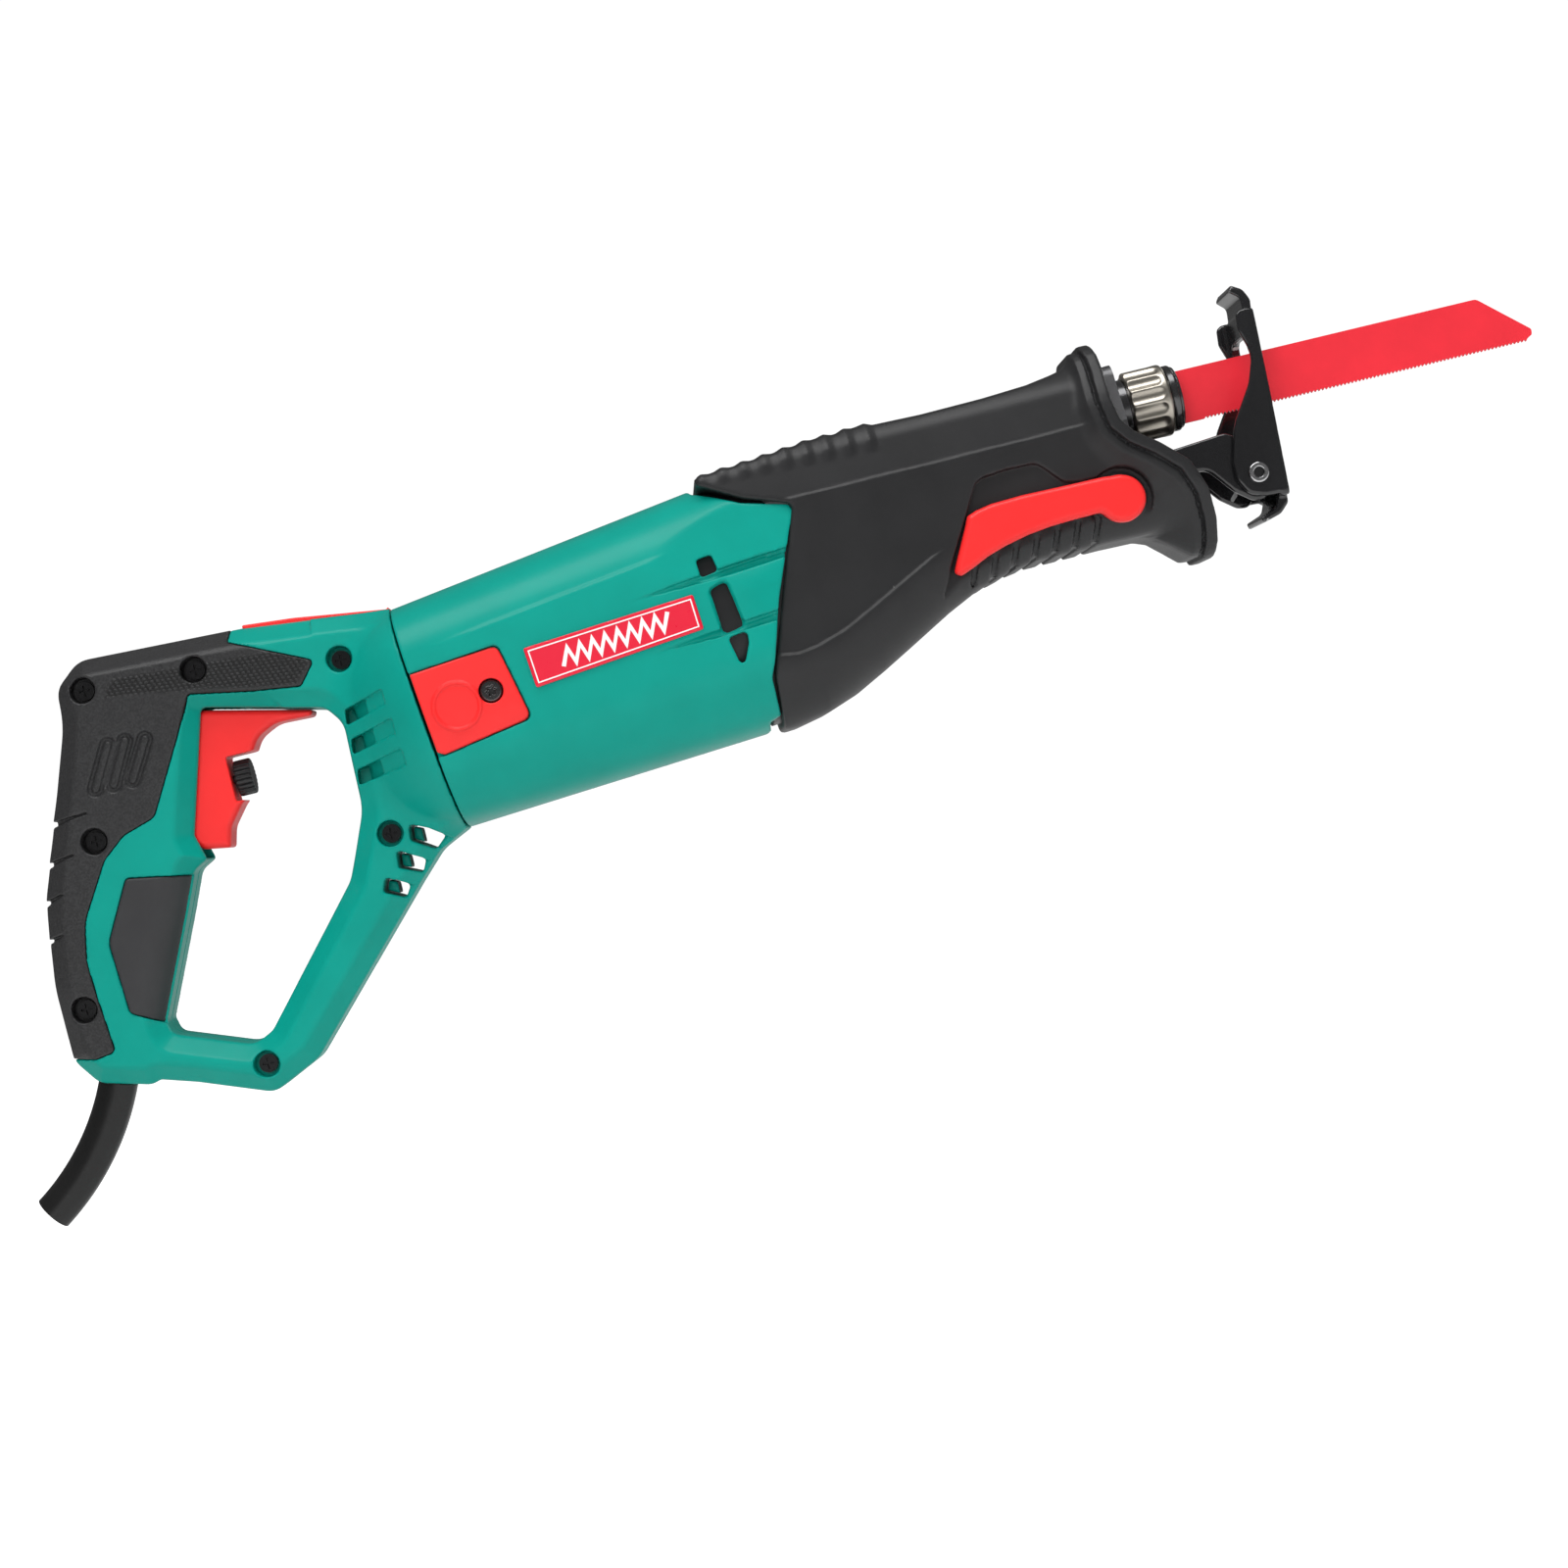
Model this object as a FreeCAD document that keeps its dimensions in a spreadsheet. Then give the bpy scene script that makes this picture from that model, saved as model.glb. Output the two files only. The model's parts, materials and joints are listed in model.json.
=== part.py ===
import FreeCAD, Part
import math
import os
import Sketcher
from FreeCAD import Placement, Rotation, Vector

# Corded reciprocating saw, in millimetres.
# The plunger axis is the X axis, the blade points to +X, +Z is up and the
# tool's right-hand side faces -Y.  The origin is the chuck mouth, where the
# blade leaves the plunger.

os.makedirs("parts", exist_ok=True)
doc = FreeCAD.newDocument("reciprocating_saw")
sheet = doc.addObject("Spreadsheet::Sheet", "dims")

# Driving dimensions: alias, value, note
DIMS = [
    ("stroke", 28.0, "plunger stroke"),
    ("crank_throw", "=stroke / 2", "crank pin radius, half the stroke"),
    ("plunger_rad", 8.0, "plunger radius"),
    ("chuck_rad", 10.0, "chuck end of the plunger"),
    ("collar_rad", 13.15, "knurled collar outer radius"),
    ("sleeve_rad", 12.4, "front sleeve outer radius"),
    ("blade_thick", 1.3, "blade thickness"),
    ("blade_top", 9.2, "blade back height over the axis"),
    ("blade_low", 10.1, "tooth tips below the axis"),
    ("tooth_pitch", 1.41, "18 teeth per 25.4"),
    ("motor_pos_x", -292.3, "motor frame origin, at the handle seam"),
    ("motor_pos_z", -50.2, "motor frame origin height"),
    ("motor_tilt", 5.88, "motor axis rises this many degrees to the front"),
    ("armature_rad", 18.0, "armature core radius"),
    ("armature_len", 40.0, "armature core length"),
    ("stator_rad", 34.0, "field stator outer radius"),
    ("stator_len", 48.0, "field stator stack length"),
    ("stator_bore", 19.0, "field stator bore radius"),
    ("fan_rad", 31.0, "cooling fan radius"),
    ("gear_pos_x", -125.0, "crank gear axis"),
    ("gear_rad", 27.6, "crank gear outer radius"),
    ("pinion_teeth", 9.0, "bevel pinion tooth count"),
    ("gear_teeth", 36.0, "crank gear tooth count"),
    ("pitch_rad", 26.0, "crank gear outer pitch radius"),
    ("roller_rad", 5.5, "crank roller radius"),
    ("grip_half", 16.5, "handle half width at the grip"),
    ("skin", 2.5, "soft grip cover thickness"),
    ("shell_wall", 2.8, "plastic shell wall"),
    ("trigger_half", 8.0, "trigger half width"),
    ("dial_rad", 6.6, "speed dial radius"),
    ("dial_pos_z", -54.6, "speed dial axis height"),
    ("boot_wall", 2.5, "rubber boot thickness"),
    ("case_wall", 2.4, "gear case wall"),
    ("bracket_half", 12.0, "shoe bracket tongue half width"),
    ("bracket_thick", 4.0, "shoe bracket tongue thickness"),
    ("shoe_inner", 15.2, "shoe flange inner half gap"),
    ("shoe_sheet", 2.5, "shoe sheet thickness"),
    ("shoe_pin_x", 17.4, "shoe pivot"),
    ("shoe_pin_z", -35.0, "shoe pivot height"),
    ("lever_pos_x", -35.4, "lock lever pivot"),
    ("lever_pos_z", -33.7, "lock lever pivot height"),
    ("lever_thick", 6.0, "lock lever thickness"),
    ("cord_rad", 4.0, "power cord radius"),
    ("guard_rad", 6.9, "cord guard radius"),
]
for row, (alias, value, note) in enumerate(DIMS, 1):
    sheet.set("A%d" % row, alias)
    sheet.set("B%d" % row, str(value))
    sheet.set("C%d" % row, note)
    sheet.setAlias("B%d" % row, alias)
doc.recompute()


def size(alias):
    return float(sheet.get(alias))


# Sketch planes.  PROFILE: local (X, Z), normal -Y.  PLAN: local (X, Y), normal
# +Z.  CROSS: local (Y, Z), normal +X.
PROFILE, PLAN, CROSS = "XZ_Plane", "XY_Plane", "YZ_Plane"
# Sides of the tool, as the sign of Y
RIGHT, LEFT = -1, 1
SIDES = (RIGHT, LEFT)
PIECES = []


# ---- outlines: lists of 2-D curves ---------------------------------------
def outline(points):
    """Closed outline.  A point is (x, y) or (x, y, corner radius)."""
    count = len(points)
    ends = []
    curves = []
    for i in range(count):
        corner = Vector(points[i][0], points[i][1], 0)
        radius = points[i][2] if len(points[i]) > 2 else 0.0
        after = points[(i + 1) % count]
        back = Vector(points[i - 1][0], points[i - 1][1], 0) - corner
        ahead = Vector(after[0], after[1], 0) - corner
        back_length, ahead_length = back.Length, ahead.Length
        back = back * (1.0 / back_length)
        ahead = ahead * (1.0 / ahead_length)
        angle = math.acos(max(-1.0, min(1.0, back.dot(ahead))))
        if radius <= 0 or angle > math.pi - 0.01:
            ends.append((corner, corner))
            continue
        # the arc may take up to 0.47 of either edge
        trim = radius / math.tan(angle / 2)
        limit = 0.47 * min(back_length, ahead_length)
        if trim > limit:
            trim = limit
            radius = trim * math.tan(angle / 2)
        start, end = corner + back * trim, corner + ahead * trim
        bisector = back + ahead
        bisector = bisector * (1.0 / bisector.Length)
        centre = corner + bisector * (radius / math.sin(angle / 2))
        curves.append(Part.Arc(start, centre - bisector * radius, end))
        ends.append((start, end))
    for i in range(count):
        start = ends[i][1]
        end = ends[(i + 1) % count][0]
        if (end - start).Length > 1e-6:
            curves.append(Part.LineSegment(start, end))
    return curves


def box(x0, y0, x1, y1, radius=0.0):
    return outline([(x0, y0, radius), (x1, y0, radius), (x1, y1, radius), (x0, y1, radius)])


def block(half_x, half_y, radius=0.0, x=0.0, y=0.0):
    """Rectangle about a centre."""
    return box(x - half_x, y - half_y, x + half_x, y + half_y, radius)


def circle(x, y, radius):
    return [Part.Circle(Vector(x, y, 0), Vector(0, 0, 1), radius)]


def annulus(x, y, outer, inner):
    return circle(x, y, outer) + circle(x, y, inner)


def scaled(points, x_scale, y_scale):
    return [(p[0] * x_scale, p[1] * y_scale) + tuple(p[2:]) for p in points]


# ---- bodies and features --------------------------------------------------
def new_body(name, placement=None, compound=False, bind=None):
    """Body to export; bind maps a placement axis to an expression."""
    body = doc.addObject("PartDesign::Body", name)
    body.Label = name
    body.AllowCompound = compound
    if placement is not None:
        body.Placement = placement
    for axis, expression in (bind or {}).items():
        body.setExpression("Placement.Base." + axis, expression)
    PIECES.append(body)
    return body


def sketch(body, role, curves, start=0.0, radii=()):
    """Sketch at start along the plane normal; radii bind the first circles."""
    support = [o for o in body.Origin.OriginFeatures if o.Role == role][0]
    drawing = body.newObject("Sketcher::SketchObject", "outline")
    drawing.AttachmentSupport = [(support, "")]
    drawing.MapMode = "FlatFace"
    drawing.AttachmentOffset = Placement(Vector(0, 0, start), Rotation())
    for curve in curves:
        drawing.addGeometry(curve, False)
    for i, expression in enumerate(radii):
        index = drawing.addConstraint(Sketcher.Constraint("Radius", i, curves[i].Radius))
        drawing.setExpression("Constraints[%d]" % index, expression)
    drawing.Visibility = False
    return drawing


def extrude(kind, body, role, curves, length, start=0.0, reverse=False, both=False, radii=()):
    """Pad or pocket; length is a number or an expression."""
    profile = sketch(body, role, curves, start, radii)
    feature = body.newObject("PartDesign::" + kind, kind.lower())
    feature.Profile = profile
    feature.Type = "Length"
    if isinstance(length, str):
        feature.setExpression("Length", length)
    else:
        feature.Length = length
    feature.Reversed = reverse
    if both:
        # the property that centres an extrusion depends on the version
        if hasattr(feature, "SideType"):
            feature.SideType = "Symmetric"
        else:
            feature.Midplane = True
    body.Tip = feature
    return feature


def pad(body, role, curves, length, **options):
    """Grows along the plane normal, or against it when reversed."""
    return extrude("Pad", body, role, curves, length, **options)


def pocket(body, role, curves, length, **options):
    """Cuts against the plane normal, or along it when reversed."""
    return extrude("Pocket", body, role, curves, length, **options)


def side_pad(body, side, curves, distance, length):
    """Pad on one side, outward from a distance off the centre plane."""
    return pad(body, PROFILE, curves, length, start=-side * distance, reverse=side > 0)


def side_pocket(body, side, curves, distance, length):
    """Pocket on one side, outward from a distance off the centre plane."""
    return pocket(body, PROFILE, curves, length, start=-side * distance, reverse=side < 0)


def spin(body, role, curves, axis="H_Axis", angle=360.0, cut=False, radii=()):
    profile = sketch(body, role, curves, radii=radii)
    feature = body.newObject("PartDesign::Groove" if cut else "PartDesign::Revolution", "turn")
    feature.Profile = profile
    feature.ReferenceAxis = (profile, [axis])
    feature.Angle = angle
    body.Tip = feature
    return feature


def loft(body, sections, cut=False, ruled=False):
    """Loft through (x, curves) sections, each on a CROSS plane."""
    drawings = [sketch(body, CROSS, curves, x) for x, curves in sections]
    kind = "PartDesign::SubtractiveLoft" if cut else "PartDesign::AdditiveLoft"
    feature = body.newObject(kind, "loft")
    feature.Profile = drawings[0]
    feature.Sections = drawings[1:]
    feature.Ruled = ruled
    body.Tip = feature
    return feature


def polar(body, original, count, axis_sketch=None):
    """Repeat a feature round the normal of its own or another sketch."""
    feature = body.newObject("PartDesign::PolarPattern", "ring")
    feature.Originals = [original]
    feature.Axis = (axis_sketch or original.Profile[0], ["N_Axis"])
    feature.Angle = 360.0
    feature.Occurrences = count
    body.Tip = feature
    return feature


def bar(body, base, axis, radius, length, cut=False):
    """Round bar along any direction, from its base point."""
    kind = "PartDesign::SubtractiveCylinder" if cut else "PartDesign::AdditiveCylinder"
    feature = body.newObject(kind, "bar")
    feature.Radius = radius
    feature.Height = length
    feature.Placement = Placement(Vector(*base), Rotation(Vector(0, 0, 1), Vector(*axis)))
    body.Tip = feature


def coil_spring(body, role, centre, radii, first, pitch, turns, ring_length,
                link_shift, link_radius, link_gap, link_length, side=RIGHT):
    """Stack of flat rings joined by short links on alternating sides."""
    x, y = centre
    for i in range(turns):
        station = first + pitch * i
        pad(body, role, annulus(x, y, *radii), ring_length,
            start=-side * station, reverse=side > 0)
        if i < turns - 1:
            sign = 1 if i % 2 else -1
            link = circle(x + sign * link_shift[0], y + sign * link_shift[1], link_radius)
            pad(body, role, link, link_length,
                start=-side * (station + link_gap), reverse=side > 0)


# ======================= handle ==============================================
# Side outlines: x, z, corner radius
HAND_OPENING = [
    (-371, -27.6, 2), (-328, -37.8, 8), (-322.7, -45, 10), (-323.6, -76, 22),
    (-333, -100.5, 14), (-372, -146, 7), (-381, -148, 8), (-408.3, -137.5, 4),
    (-409.3, -132.5, 3), (-393, -97, 12), (-387, -83.2, 4), (-381.5, -80.3, 1),
    (-384, -71, 2)]
# plastic core; the soft rear cover lies outside it along the back
CORE_OUTER = [
    (-296.5, -9.1), (-349, -2.9, 40), (-353.5, -7.4, 1), (-411.0, -4.2, 7),
    (-416.8, -10.5, 7), (-417.6, -22.5, 40), (-428.4, -53.8, 60), (-438.6, -82.6, 60),
    (-442.6, -112, 60), (-442.5, -136.5, 1), (-444.8, -137.5, 0.5), (-444.6, -140.5, 6),
    (-438, -148.5, 7), (-419, -153.8, 6), (-378, -166, 9), (-362, -158, 14),
    (-311, -106, 25), (-300, -96.3, 12), (-288.2, -91.4)]
CORE_HOLLOW = [
    (-305, -20), (-330, -12, 10), (-411, -8, 4), (-414, -13, 4), (-414.6, -23, 30),
    (-425.4, -54.5, 40), (-435.4, -83, 40), (-439.4, -112, 30), (-439.4, -136, 4),
    (-434, -145, 4), (-419, -150.6, 4), (-379, -162.4, 6), (-365, -156, 8),
    (-313.5, -104.5, 20), (-303, -92), (-316, -80), (-320.5, -90, 8), (-331, -104.5, 12),
    (-369.5, -149.5, 8), (-380, -151.6, 8), (-411, -141, 4), (-412.8, -132.5, 3),
    (-396, -97.5, 12), (-390, -83.5, 5), (-387, -71, 4), (-374, -25.5, 4),
    (-330, -34.5, 8), (-319.5, -44, 6), (-318, -60)]
# rear cover: its inner edge, then the back of the grip from foot to top
GRIP_REAR = [
    (-353.7, -7.7, 1), (-326.5, -20.8, 2), (-333, -28.6, 2), (-350, -26.2, 20),
    (-372.4, -21.9, 2), (-380, -36.6, 20), (-394, -61.5, 5), (-406, -65.2, 8),
    (-414.6, -72.2, 10), (-426.3, -91.7, 20), (-429, -105.5, 20), (-428.4, -118.6, 20),
    (-426.7, -138.6, 2), (-433.6, -139.6, 4)]
GRIP_BACK = [
    (-445.2, -112, 60), (-441.2, -82, 60), (-431, -53, 60), (-420.3, -22, 40),
    (-419.6, -9.5, 9), (-410.5, -1.6, 9)]
# back edge of the recess for the rear cover, clear of the core
RECESS_BACK = [
    (-443.4, -138.4), (-446.4, -112), (-443, -82), (-433, -53), (-422, -22), (-421, -2),
    (-405, -2)]
# inside edge of the cover strip round the back of the grip
STRIP_INSIDE = [
    (-353.7, -7.2, 0.3), (-411.0, -4.05, 7), (-416.9, -10.5, 7), (-417.7, -22.5, 40),
    (-428.5, -53.8, 60), (-438.7, -82.6, 60), (-442.7, -112, 60), (-442.6, -136.3),
    (-444.9, -137.2, 0.5)]
FRONT_GRIP = [
    (-408.6, -80.4, 2), (-394.4, -83.3, 2), (-399.5, -96.5, 10), (-410.2, -121, 6),
    (-413, -129, 3), (-418.2, -126.5, 3), (-419.4, -112, 20), (-418.4, -97.7, 6)]
SEAM_CUT = [(-297.77, 2.9), (-270, 5), (-270, -105), (-286.66, -105)]
TRIGGER_SLOT = [(-398, -79.4), (-378, -79.4), (-366, -62), (-366, -26.4), (-398, -26.4)]
TRIM_RECESS = [(-349.5, -2.0), (-349.0, -6.2), (-298.5, -11.2), (-298.5, -2.0)]
TOP_TRIM = [(-349.2, -3.0), (-349.0, -6.1), (-298.8, -11.1), (-298.8, -8.6), (-330, -5.0, 100)]
TRIM_HALF = 7.0
# Bell between grip and motor: x, top, bottom, half width, top and bottom corner radius
BELL_OUTER = [
    (-330, -16, -72, 15.5, 9, 9), (-312, -13, -88, 27, 16, 16),
    (-296.4, -11.5, -90.6, 39, 26, 26), (-289.2, -10.3, -90.9, 40.4, 27, 27)]
BELL_INNER = [
    (-321, -20, -76, 12.7, 7, 7), (-310, -16, -85.5, 25, 13, 13),
    (-295, -14.1, -88.1, 36.6, 23, 23), (-285.0, -13.1, -88.1, 37.6, 24, 24)]
# Screw bosses: x, z
BOSSES = [
    (-408.0, -12.1), (-368.4, -14.1), (-317.6, -22.6), (-416.4, -64.9), (-314.9, -86.9),
    (-433.8, -121.8), (-376.4, -155.8)]
BOSS_RAD = 4.6
SCREW_HOLE_RAD = 1.6
HEAD_SEAT = 9.0       # screw head seat, right of the centre plane
# Cover marks: two end points (x, z) each
GROOVES = [
    ((-431.5, -54.8), (-418.0, -54.0)), ((-438.5, -69.5), (-426.0, -67.8)),
    ((-442.5, -82.5), (-433.0, -80.6)), ((-445.0, -96.0), (-435.0, -94.0))]
RAISED_BARS = [
    ((-411.5, -47.5), (-403.6, -33.5)), ((-405.2, -47.5), (-397.5, -33.5)),
    ((-398.2, -47.5), (-390.8, -35.0))]
# inner face of the soft covers, off the centre plane
COVER_SEAT = size("grip_half") - size("skin") + 0.5


def bell_sections(rows, side):
    """Half sections of the bell, square at y = 0 and rounded outside."""
    sections = []
    for x, top, bottom, half, top_round, bottom_round in rows:
        sections.append((x, outline([
            (0, top), (side * half, top, top_round),
            (side * half, bottom, bottom_round), (0, bottom)])))
    return sections


def handle_shell(name, side):
    body = new_body(name)
    side_pad(body, side, outline(CORE_OUTER) + outline(HAND_OPENING), 0, "dims.grip_half")
    # the bell that widens to meet the motor housing
    loft(body, bell_sections(BELL_OUTER, side))
    # hand opening again, then square the front to the seam plane
    pocket(body, PROFILE, outline(HAND_OPENING), 100, both=True)
    pocket(body, PROFILE, outline(SEAM_CUT), 200, both=True)
    # hollow of the grip and of the bell
    side_pocket(body, side, outline(CORE_HOLLOW), 0, "dims.grip_half - dims.shell_wall")
    loft(body, bell_sections(BELL_INNER, side), cut=True)
    # trigger slot, through the front wall of the grip
    side_pocket(body, side, outline(TRIGGER_SLOT), 0, "dims.trigger_half + 0.4")
    # recesses for the soft covers, on the outside face, and for the top trim
    side_pocket(body, side, outline(GRIP_REAR + RECESS_BACK), COVER_SEAT, 20)
    side_pocket(body, side, outline(FRONT_GRIP), COVER_SEAT, 20)
    side_pocket(body, side, outline(TRIM_RECESS), 0, TRIM_HALF + 0.1)
    # screw bosses: through holes on the right, blind ones on the left
    for x, z in BOSSES:
        side_pad(body, side, circle(x, z, BOSS_RAD), 0,
                 "dims.grip_half - dims.shell_wall + 0.4")
        if side == RIGHT:
            pocket(body, PROFILE, circle(x, z, SCREW_HOLE_RAD), 40, both=True)
            side_pocket(body, side, circle(x, z, 3.6), HEAD_SEAT, 40)
        else:
            side_pocket(body, side, circle(x, z, SCREW_HOLE_RAD), 0, 9.0)
    # bottom outlet for the cord guard
    bar(body, (-424.9, 0, -135.9), (-0.411, 0, -0.912), 7.6, 40, cut=True)


def rear_grip(name, side):
    body = new_body(name)
    cover = outline(GRIP_REAR + [(-442.9, -137.6, 0.5)] + GRIP_BACK)
    side_pad(body, side, cover, COVER_SEAT, "dims.skin + 0.5")
    # strip round the back of the grip, down to the centre plane
    strip = outline(STRIP_INSIDE + GRIP_BACK + [(-353.9, -5.2, 0.5)])
    side_pad(body, side, strip, 0, COVER_SEAT + 0.3)
    # four short grooves at the back and three raised bars on the side
    for (x0, z0), (x1, z1) in GROOVES:
        groove = outline([(x0, z0 - 0.8), (x1, z1 - 0.5), (x1, z1 + 0.5), (x0, z0 + 0.8)])
        side_pocket(body, side, groove, size("grip_half") - 0.2, 10)
    for (x0, z0), (x1, z1) in RAISED_BARS:
        raised = outline([
            (x0 - 1.3, z0, 0.6), (x0 + 1.3, z0 - 1.0, 0.6),
            (x1 + 1.3, z1, 0.6), (x1 - 1.3, z1 + 1.0, 0.6)])
        side_pad(body, side, raised, size("grip_half") + 0.4, 0.9)
    # clear the bosses at the back and top
    for x, z in BOSSES:
        if x < -400 or z > -15:
            pocket(body, PROFILE, circle(x, z, BOSS_RAD + 0.1), 60, both=True)


def front_grip(name, side):
    body = new_body(name)
    side_pad(body, side, outline(FRONT_GRIP), COVER_SEAT, "dims.skin + 0.2")


for build, name in ((handle_shell, "handle_shell_"), (rear_grip, "rear_grip_"),
                    (front_grip, "front_grip_")):
    build(name + "right", RIGHT)
    build(name + "left", LEFT)

body = new_body("top_trim")
pad(body, PROFILE, outline(TOP_TRIM), 2 * TRIM_HALF, both=True)

# identical shell screws, driven from the right-hand side; the cross recess
# in the head is given about the screw axis
SCREW_CROSS = [
    (-0.4, -2), (0.4, -2), (0.4, -0.4), (2, -0.4), (2, 0.4), (0.4, 0.4),
    (0.4, 2), (-0.4, 2), (-0.4, 0.4), (-2, 0.4), (-2, -0.4), (-0.4, -0.4)]
body = new_body("handle_screws", compound=True)
for x, z in BOSSES:
    side_pad(body, RIGHT, circle(x, z, 3.3), HEAD_SEAT + 0.05, 2.2)
    pad(body, PROFILE, circle(x, z, 1.5), 17.6, start=-8.5)
    cross = outline([(x + dx, z + dz) for dx, dz in SCREW_CROSS])
    side_pocket(body, RIGHT, cross, 10.3, 5)

# ======================= motor ==============================================
# Motor frame: local x runs forward along the armature axis.
MOTOR_AT = Placement(Vector(size("motor_pos_x"), 0, size("motor_pos_z")),
                     Rotation(Vector(0, 1, 0), -size("motor_tilt")))
# Housing octagons: x, half height, half width
HOUSING_OUTER = [(0.1, 41.0, 41.0), (112.0, 45.6, 42.5), (146.0, 46.5, 42.0)]
HOUSING_INNER = [(-1.0, 38.2, 38.2), (112.0, 42.8, 39.7), (147.0, 43.8, 39.3)]
# Side outlines: x, z, corner radius
# front edge: cheeks reach forward at mid height and lean back below
HOUSING_FRONT = [
    (110.5, 60), (114.6, 42.0, 2), (128.5, 32.0, 3), (143.8, 26.2, 3), (144.4, 24, 2),
    (141.5, 18.5, 8), (130.4, -3.0, 30), (121.8, -23.0, 8), (118.8, -28.5, 5),
    (118.2, -37, 5), (114.0, -46.5, 2), (113.0, -60), (190, -60), (190, 60)]
COVER_RECESS = [
    (2.0, -14.4), (2.0, 14.6, 3), (32.6, 14.4, 3), (35.8, -13.6, 3), (3.0, -15.6, 3)]
BRUSH_COVER = [
    (2.4, -14.2), (2.4, 14.2, 3), (32.2, 14.0, 3), (35.3, -13.2, 3), (3.4, -15.2, 3)]
VENTS = [
    [(107.4, 19.0, 1), (113, 18.9, 1), (113.2, 13.2, 1), (107.2, 12.8, 1)],
    [(108.6, 7.2, 1), (114.6, 8.4, 1), (115.4, -7.2, 1), (108.4, -7.6, 1)],
    [(109.6, -11.6), (115.0, -11.4), (114.6, -14.0), (110.9, -19.6), (110.1, -19.0)]]
NAME_PLATE = [(41.2, 7.6, 1), (102.6, 7.6, 1), (102.6, -5.2, 1), (41.2, -5.2, 1)]
# Cross outlines: y, z, corner radius
STATOR_SLOT = [(15.5, -14.0), (26.5, -20.5, 3), (26.5, 20.5, 3), (15.5, 14.0), (10, 0)]
COIL_SIDE = [(26.0, 1.2, 1), (20.6, 1.2, 1), (20.6, 8.0), (18.2, 13.4), (25.2, 16.6, 1)]
COIL_END = [
    (-26.0, 4.0), (-20.6, 4.0), (-17.0, 17.0, 3), (0, 22.2, 20), (17.0, 17.0, 3),
    (20.6, 4.0), (26.0, 4.0), (24.0, 20.0, 4), (0, 29.0, 20), (-24.0, 20.0, 4)]
ARMATURE_SLOT = [
    (-1.0, 19), (-1.0, 17.2), (-2.0, 16.4), (-2.0, 10.5), (2.0, 10.5), (2.0, 16.4),
    (1.0, 17.2), (1.0, 19)]
FAN_BLADE = [(-0.8, 10), (0.8, 10), (5.0, 30.5), (3.4, 30.5)]
BRACKET_WINDOW = [(14, -10, 3), (33, -16, 5), (33, 16, 5), (14, 10, 3)]
# Turned profiles: x, radius
SHAFT = [(2, 0), (2, 4), (10, 4), (10, 5), (128, 5), (141, 5), (141, 2.2), (152, 2.2), (152, 0)]
REAR_BEARING = [(3, 4.03), (3, 9.5), (9.8, 9.5), (9.8, 4.03)]
FRONT_BEARING = [(128.2, 5.03), (128.2, 13.0), (138, 13.0), (138, 5.03)]
REAR_BRACKET = [
    (2.4, 9.5), (2.4, 12.0), (9.0, 12.0), (9.0, 37.3), (12.0, 37.3), (12.0, 9.5)]
REAR_WINDING = [(34.5, 6.5), (34.5, 14, 2), (42.0, 16.2, 2), (42.0, 6.5)]
FRONT_WINDING = [(82.0, 6.5), (82.0, 16.2, 2), (89.0, 14, 2), (89.0, 6.5)]
COMMUTATOR = [(14, 5.0), (14, 12.5), (31, 12.5), (31, 14.0), (34, 14.0), (34, 5.0)]
SHAFT_RAD = 5.0
SLOTS = 12            # armature slots
BARS = 24             # commutator bars
BRUSH_X = 25.4        # brush axis
COVER_FACE = 38.8     # inner face of the brush covers, off the centre plane
COVER_THICK = 3.0
PLATE_FACE = 41.3     # inner face of the name plates
CAP_FACE = 36.6       # inner end of the brush caps


def motor_body(name, compound=False, roll=0.0):
    """Body in the motor frame, turned by roll degrees about its axis."""
    turn = Placement(Vector(0, 0, 0), Rotation(Vector(1, 0, 0), roll))
    return new_body(name, MOTOR_AT.multiply(turn), compound,
                    bind={"x": "dims.motor_pos_x", "z": "dims.motor_pos_z"})


def octagon(high, wide):
    """Rounded octagon from its half height and half width."""
    return outline([
        (-wide, 0.50 * high, 13), (-0.62 * wide, high, 13),
        (0.62 * wide, high, 13), (wide, 0.50 * high, 13),
        (wide, -0.50 * high, 13), (0.62 * wide, -high, 13),
        (-0.62 * wide, -high, 13), (-wide, -0.50 * high, 13)])


body = motor_body("motor_housing")
loft(body, [(x, octagon(high, wide)) for x, high, wide in HOUSING_OUTER], ruled=True)
loft(body, [(x, octagon(high, wide)) for x, high, wide in HOUSING_INNER], cut=True, ruled=True)
pocket(body, PROFILE, outline(HOUSING_FRONT), 200, both=True)
# ribs that hold the field: top, bottom, left, right
rib_foot = size("stator_rad") + 0.1
for corners in ((-3, rib_foot, 3, 41.2), (-3, -41.2, 3, -rib_foot),
                (rib_foot, -3, 39.6, 3), (-39.6, -3, -rib_foot, 3)):
    pad(body, CROSS, box(*corners), 44.0, start=40.0)
# brush cover seats, name plate seats and vents, cut from both cheeks
for side in SIDES:
    side_pocket(body, side, outline(COVER_RECESS), COVER_FACE - 0.2, 20)
for side in SIDES:
    side_pocket(body, side, box(41.0, -5.4, 102.8, 7.8, 1.2), PLATE_FACE - 0.1, 10)
for points in VENTS:
    pocket(body, PROFILE, outline(points), 200, both=True)
pocket(body, PROFILE, circle(BRUSH_X, 0, 7.0), 200, both=True)

# brush covers, each with a thin raised ring on its face
for side, name in ((RIGHT, "brush_cover_right"), (LEFT, "brush_cover_left")):
    body = motor_body(name)
    side_pad(body, side, outline(BRUSH_COVER) + circle(BRUSH_X, 0, 4.2),
             COVER_FACE, COVER_THICK)
    side_pad(body, side, annulus(12.4, -1.0, 8.4, 7.4), COVER_FACE + COVER_THICK, 0.4)

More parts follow.
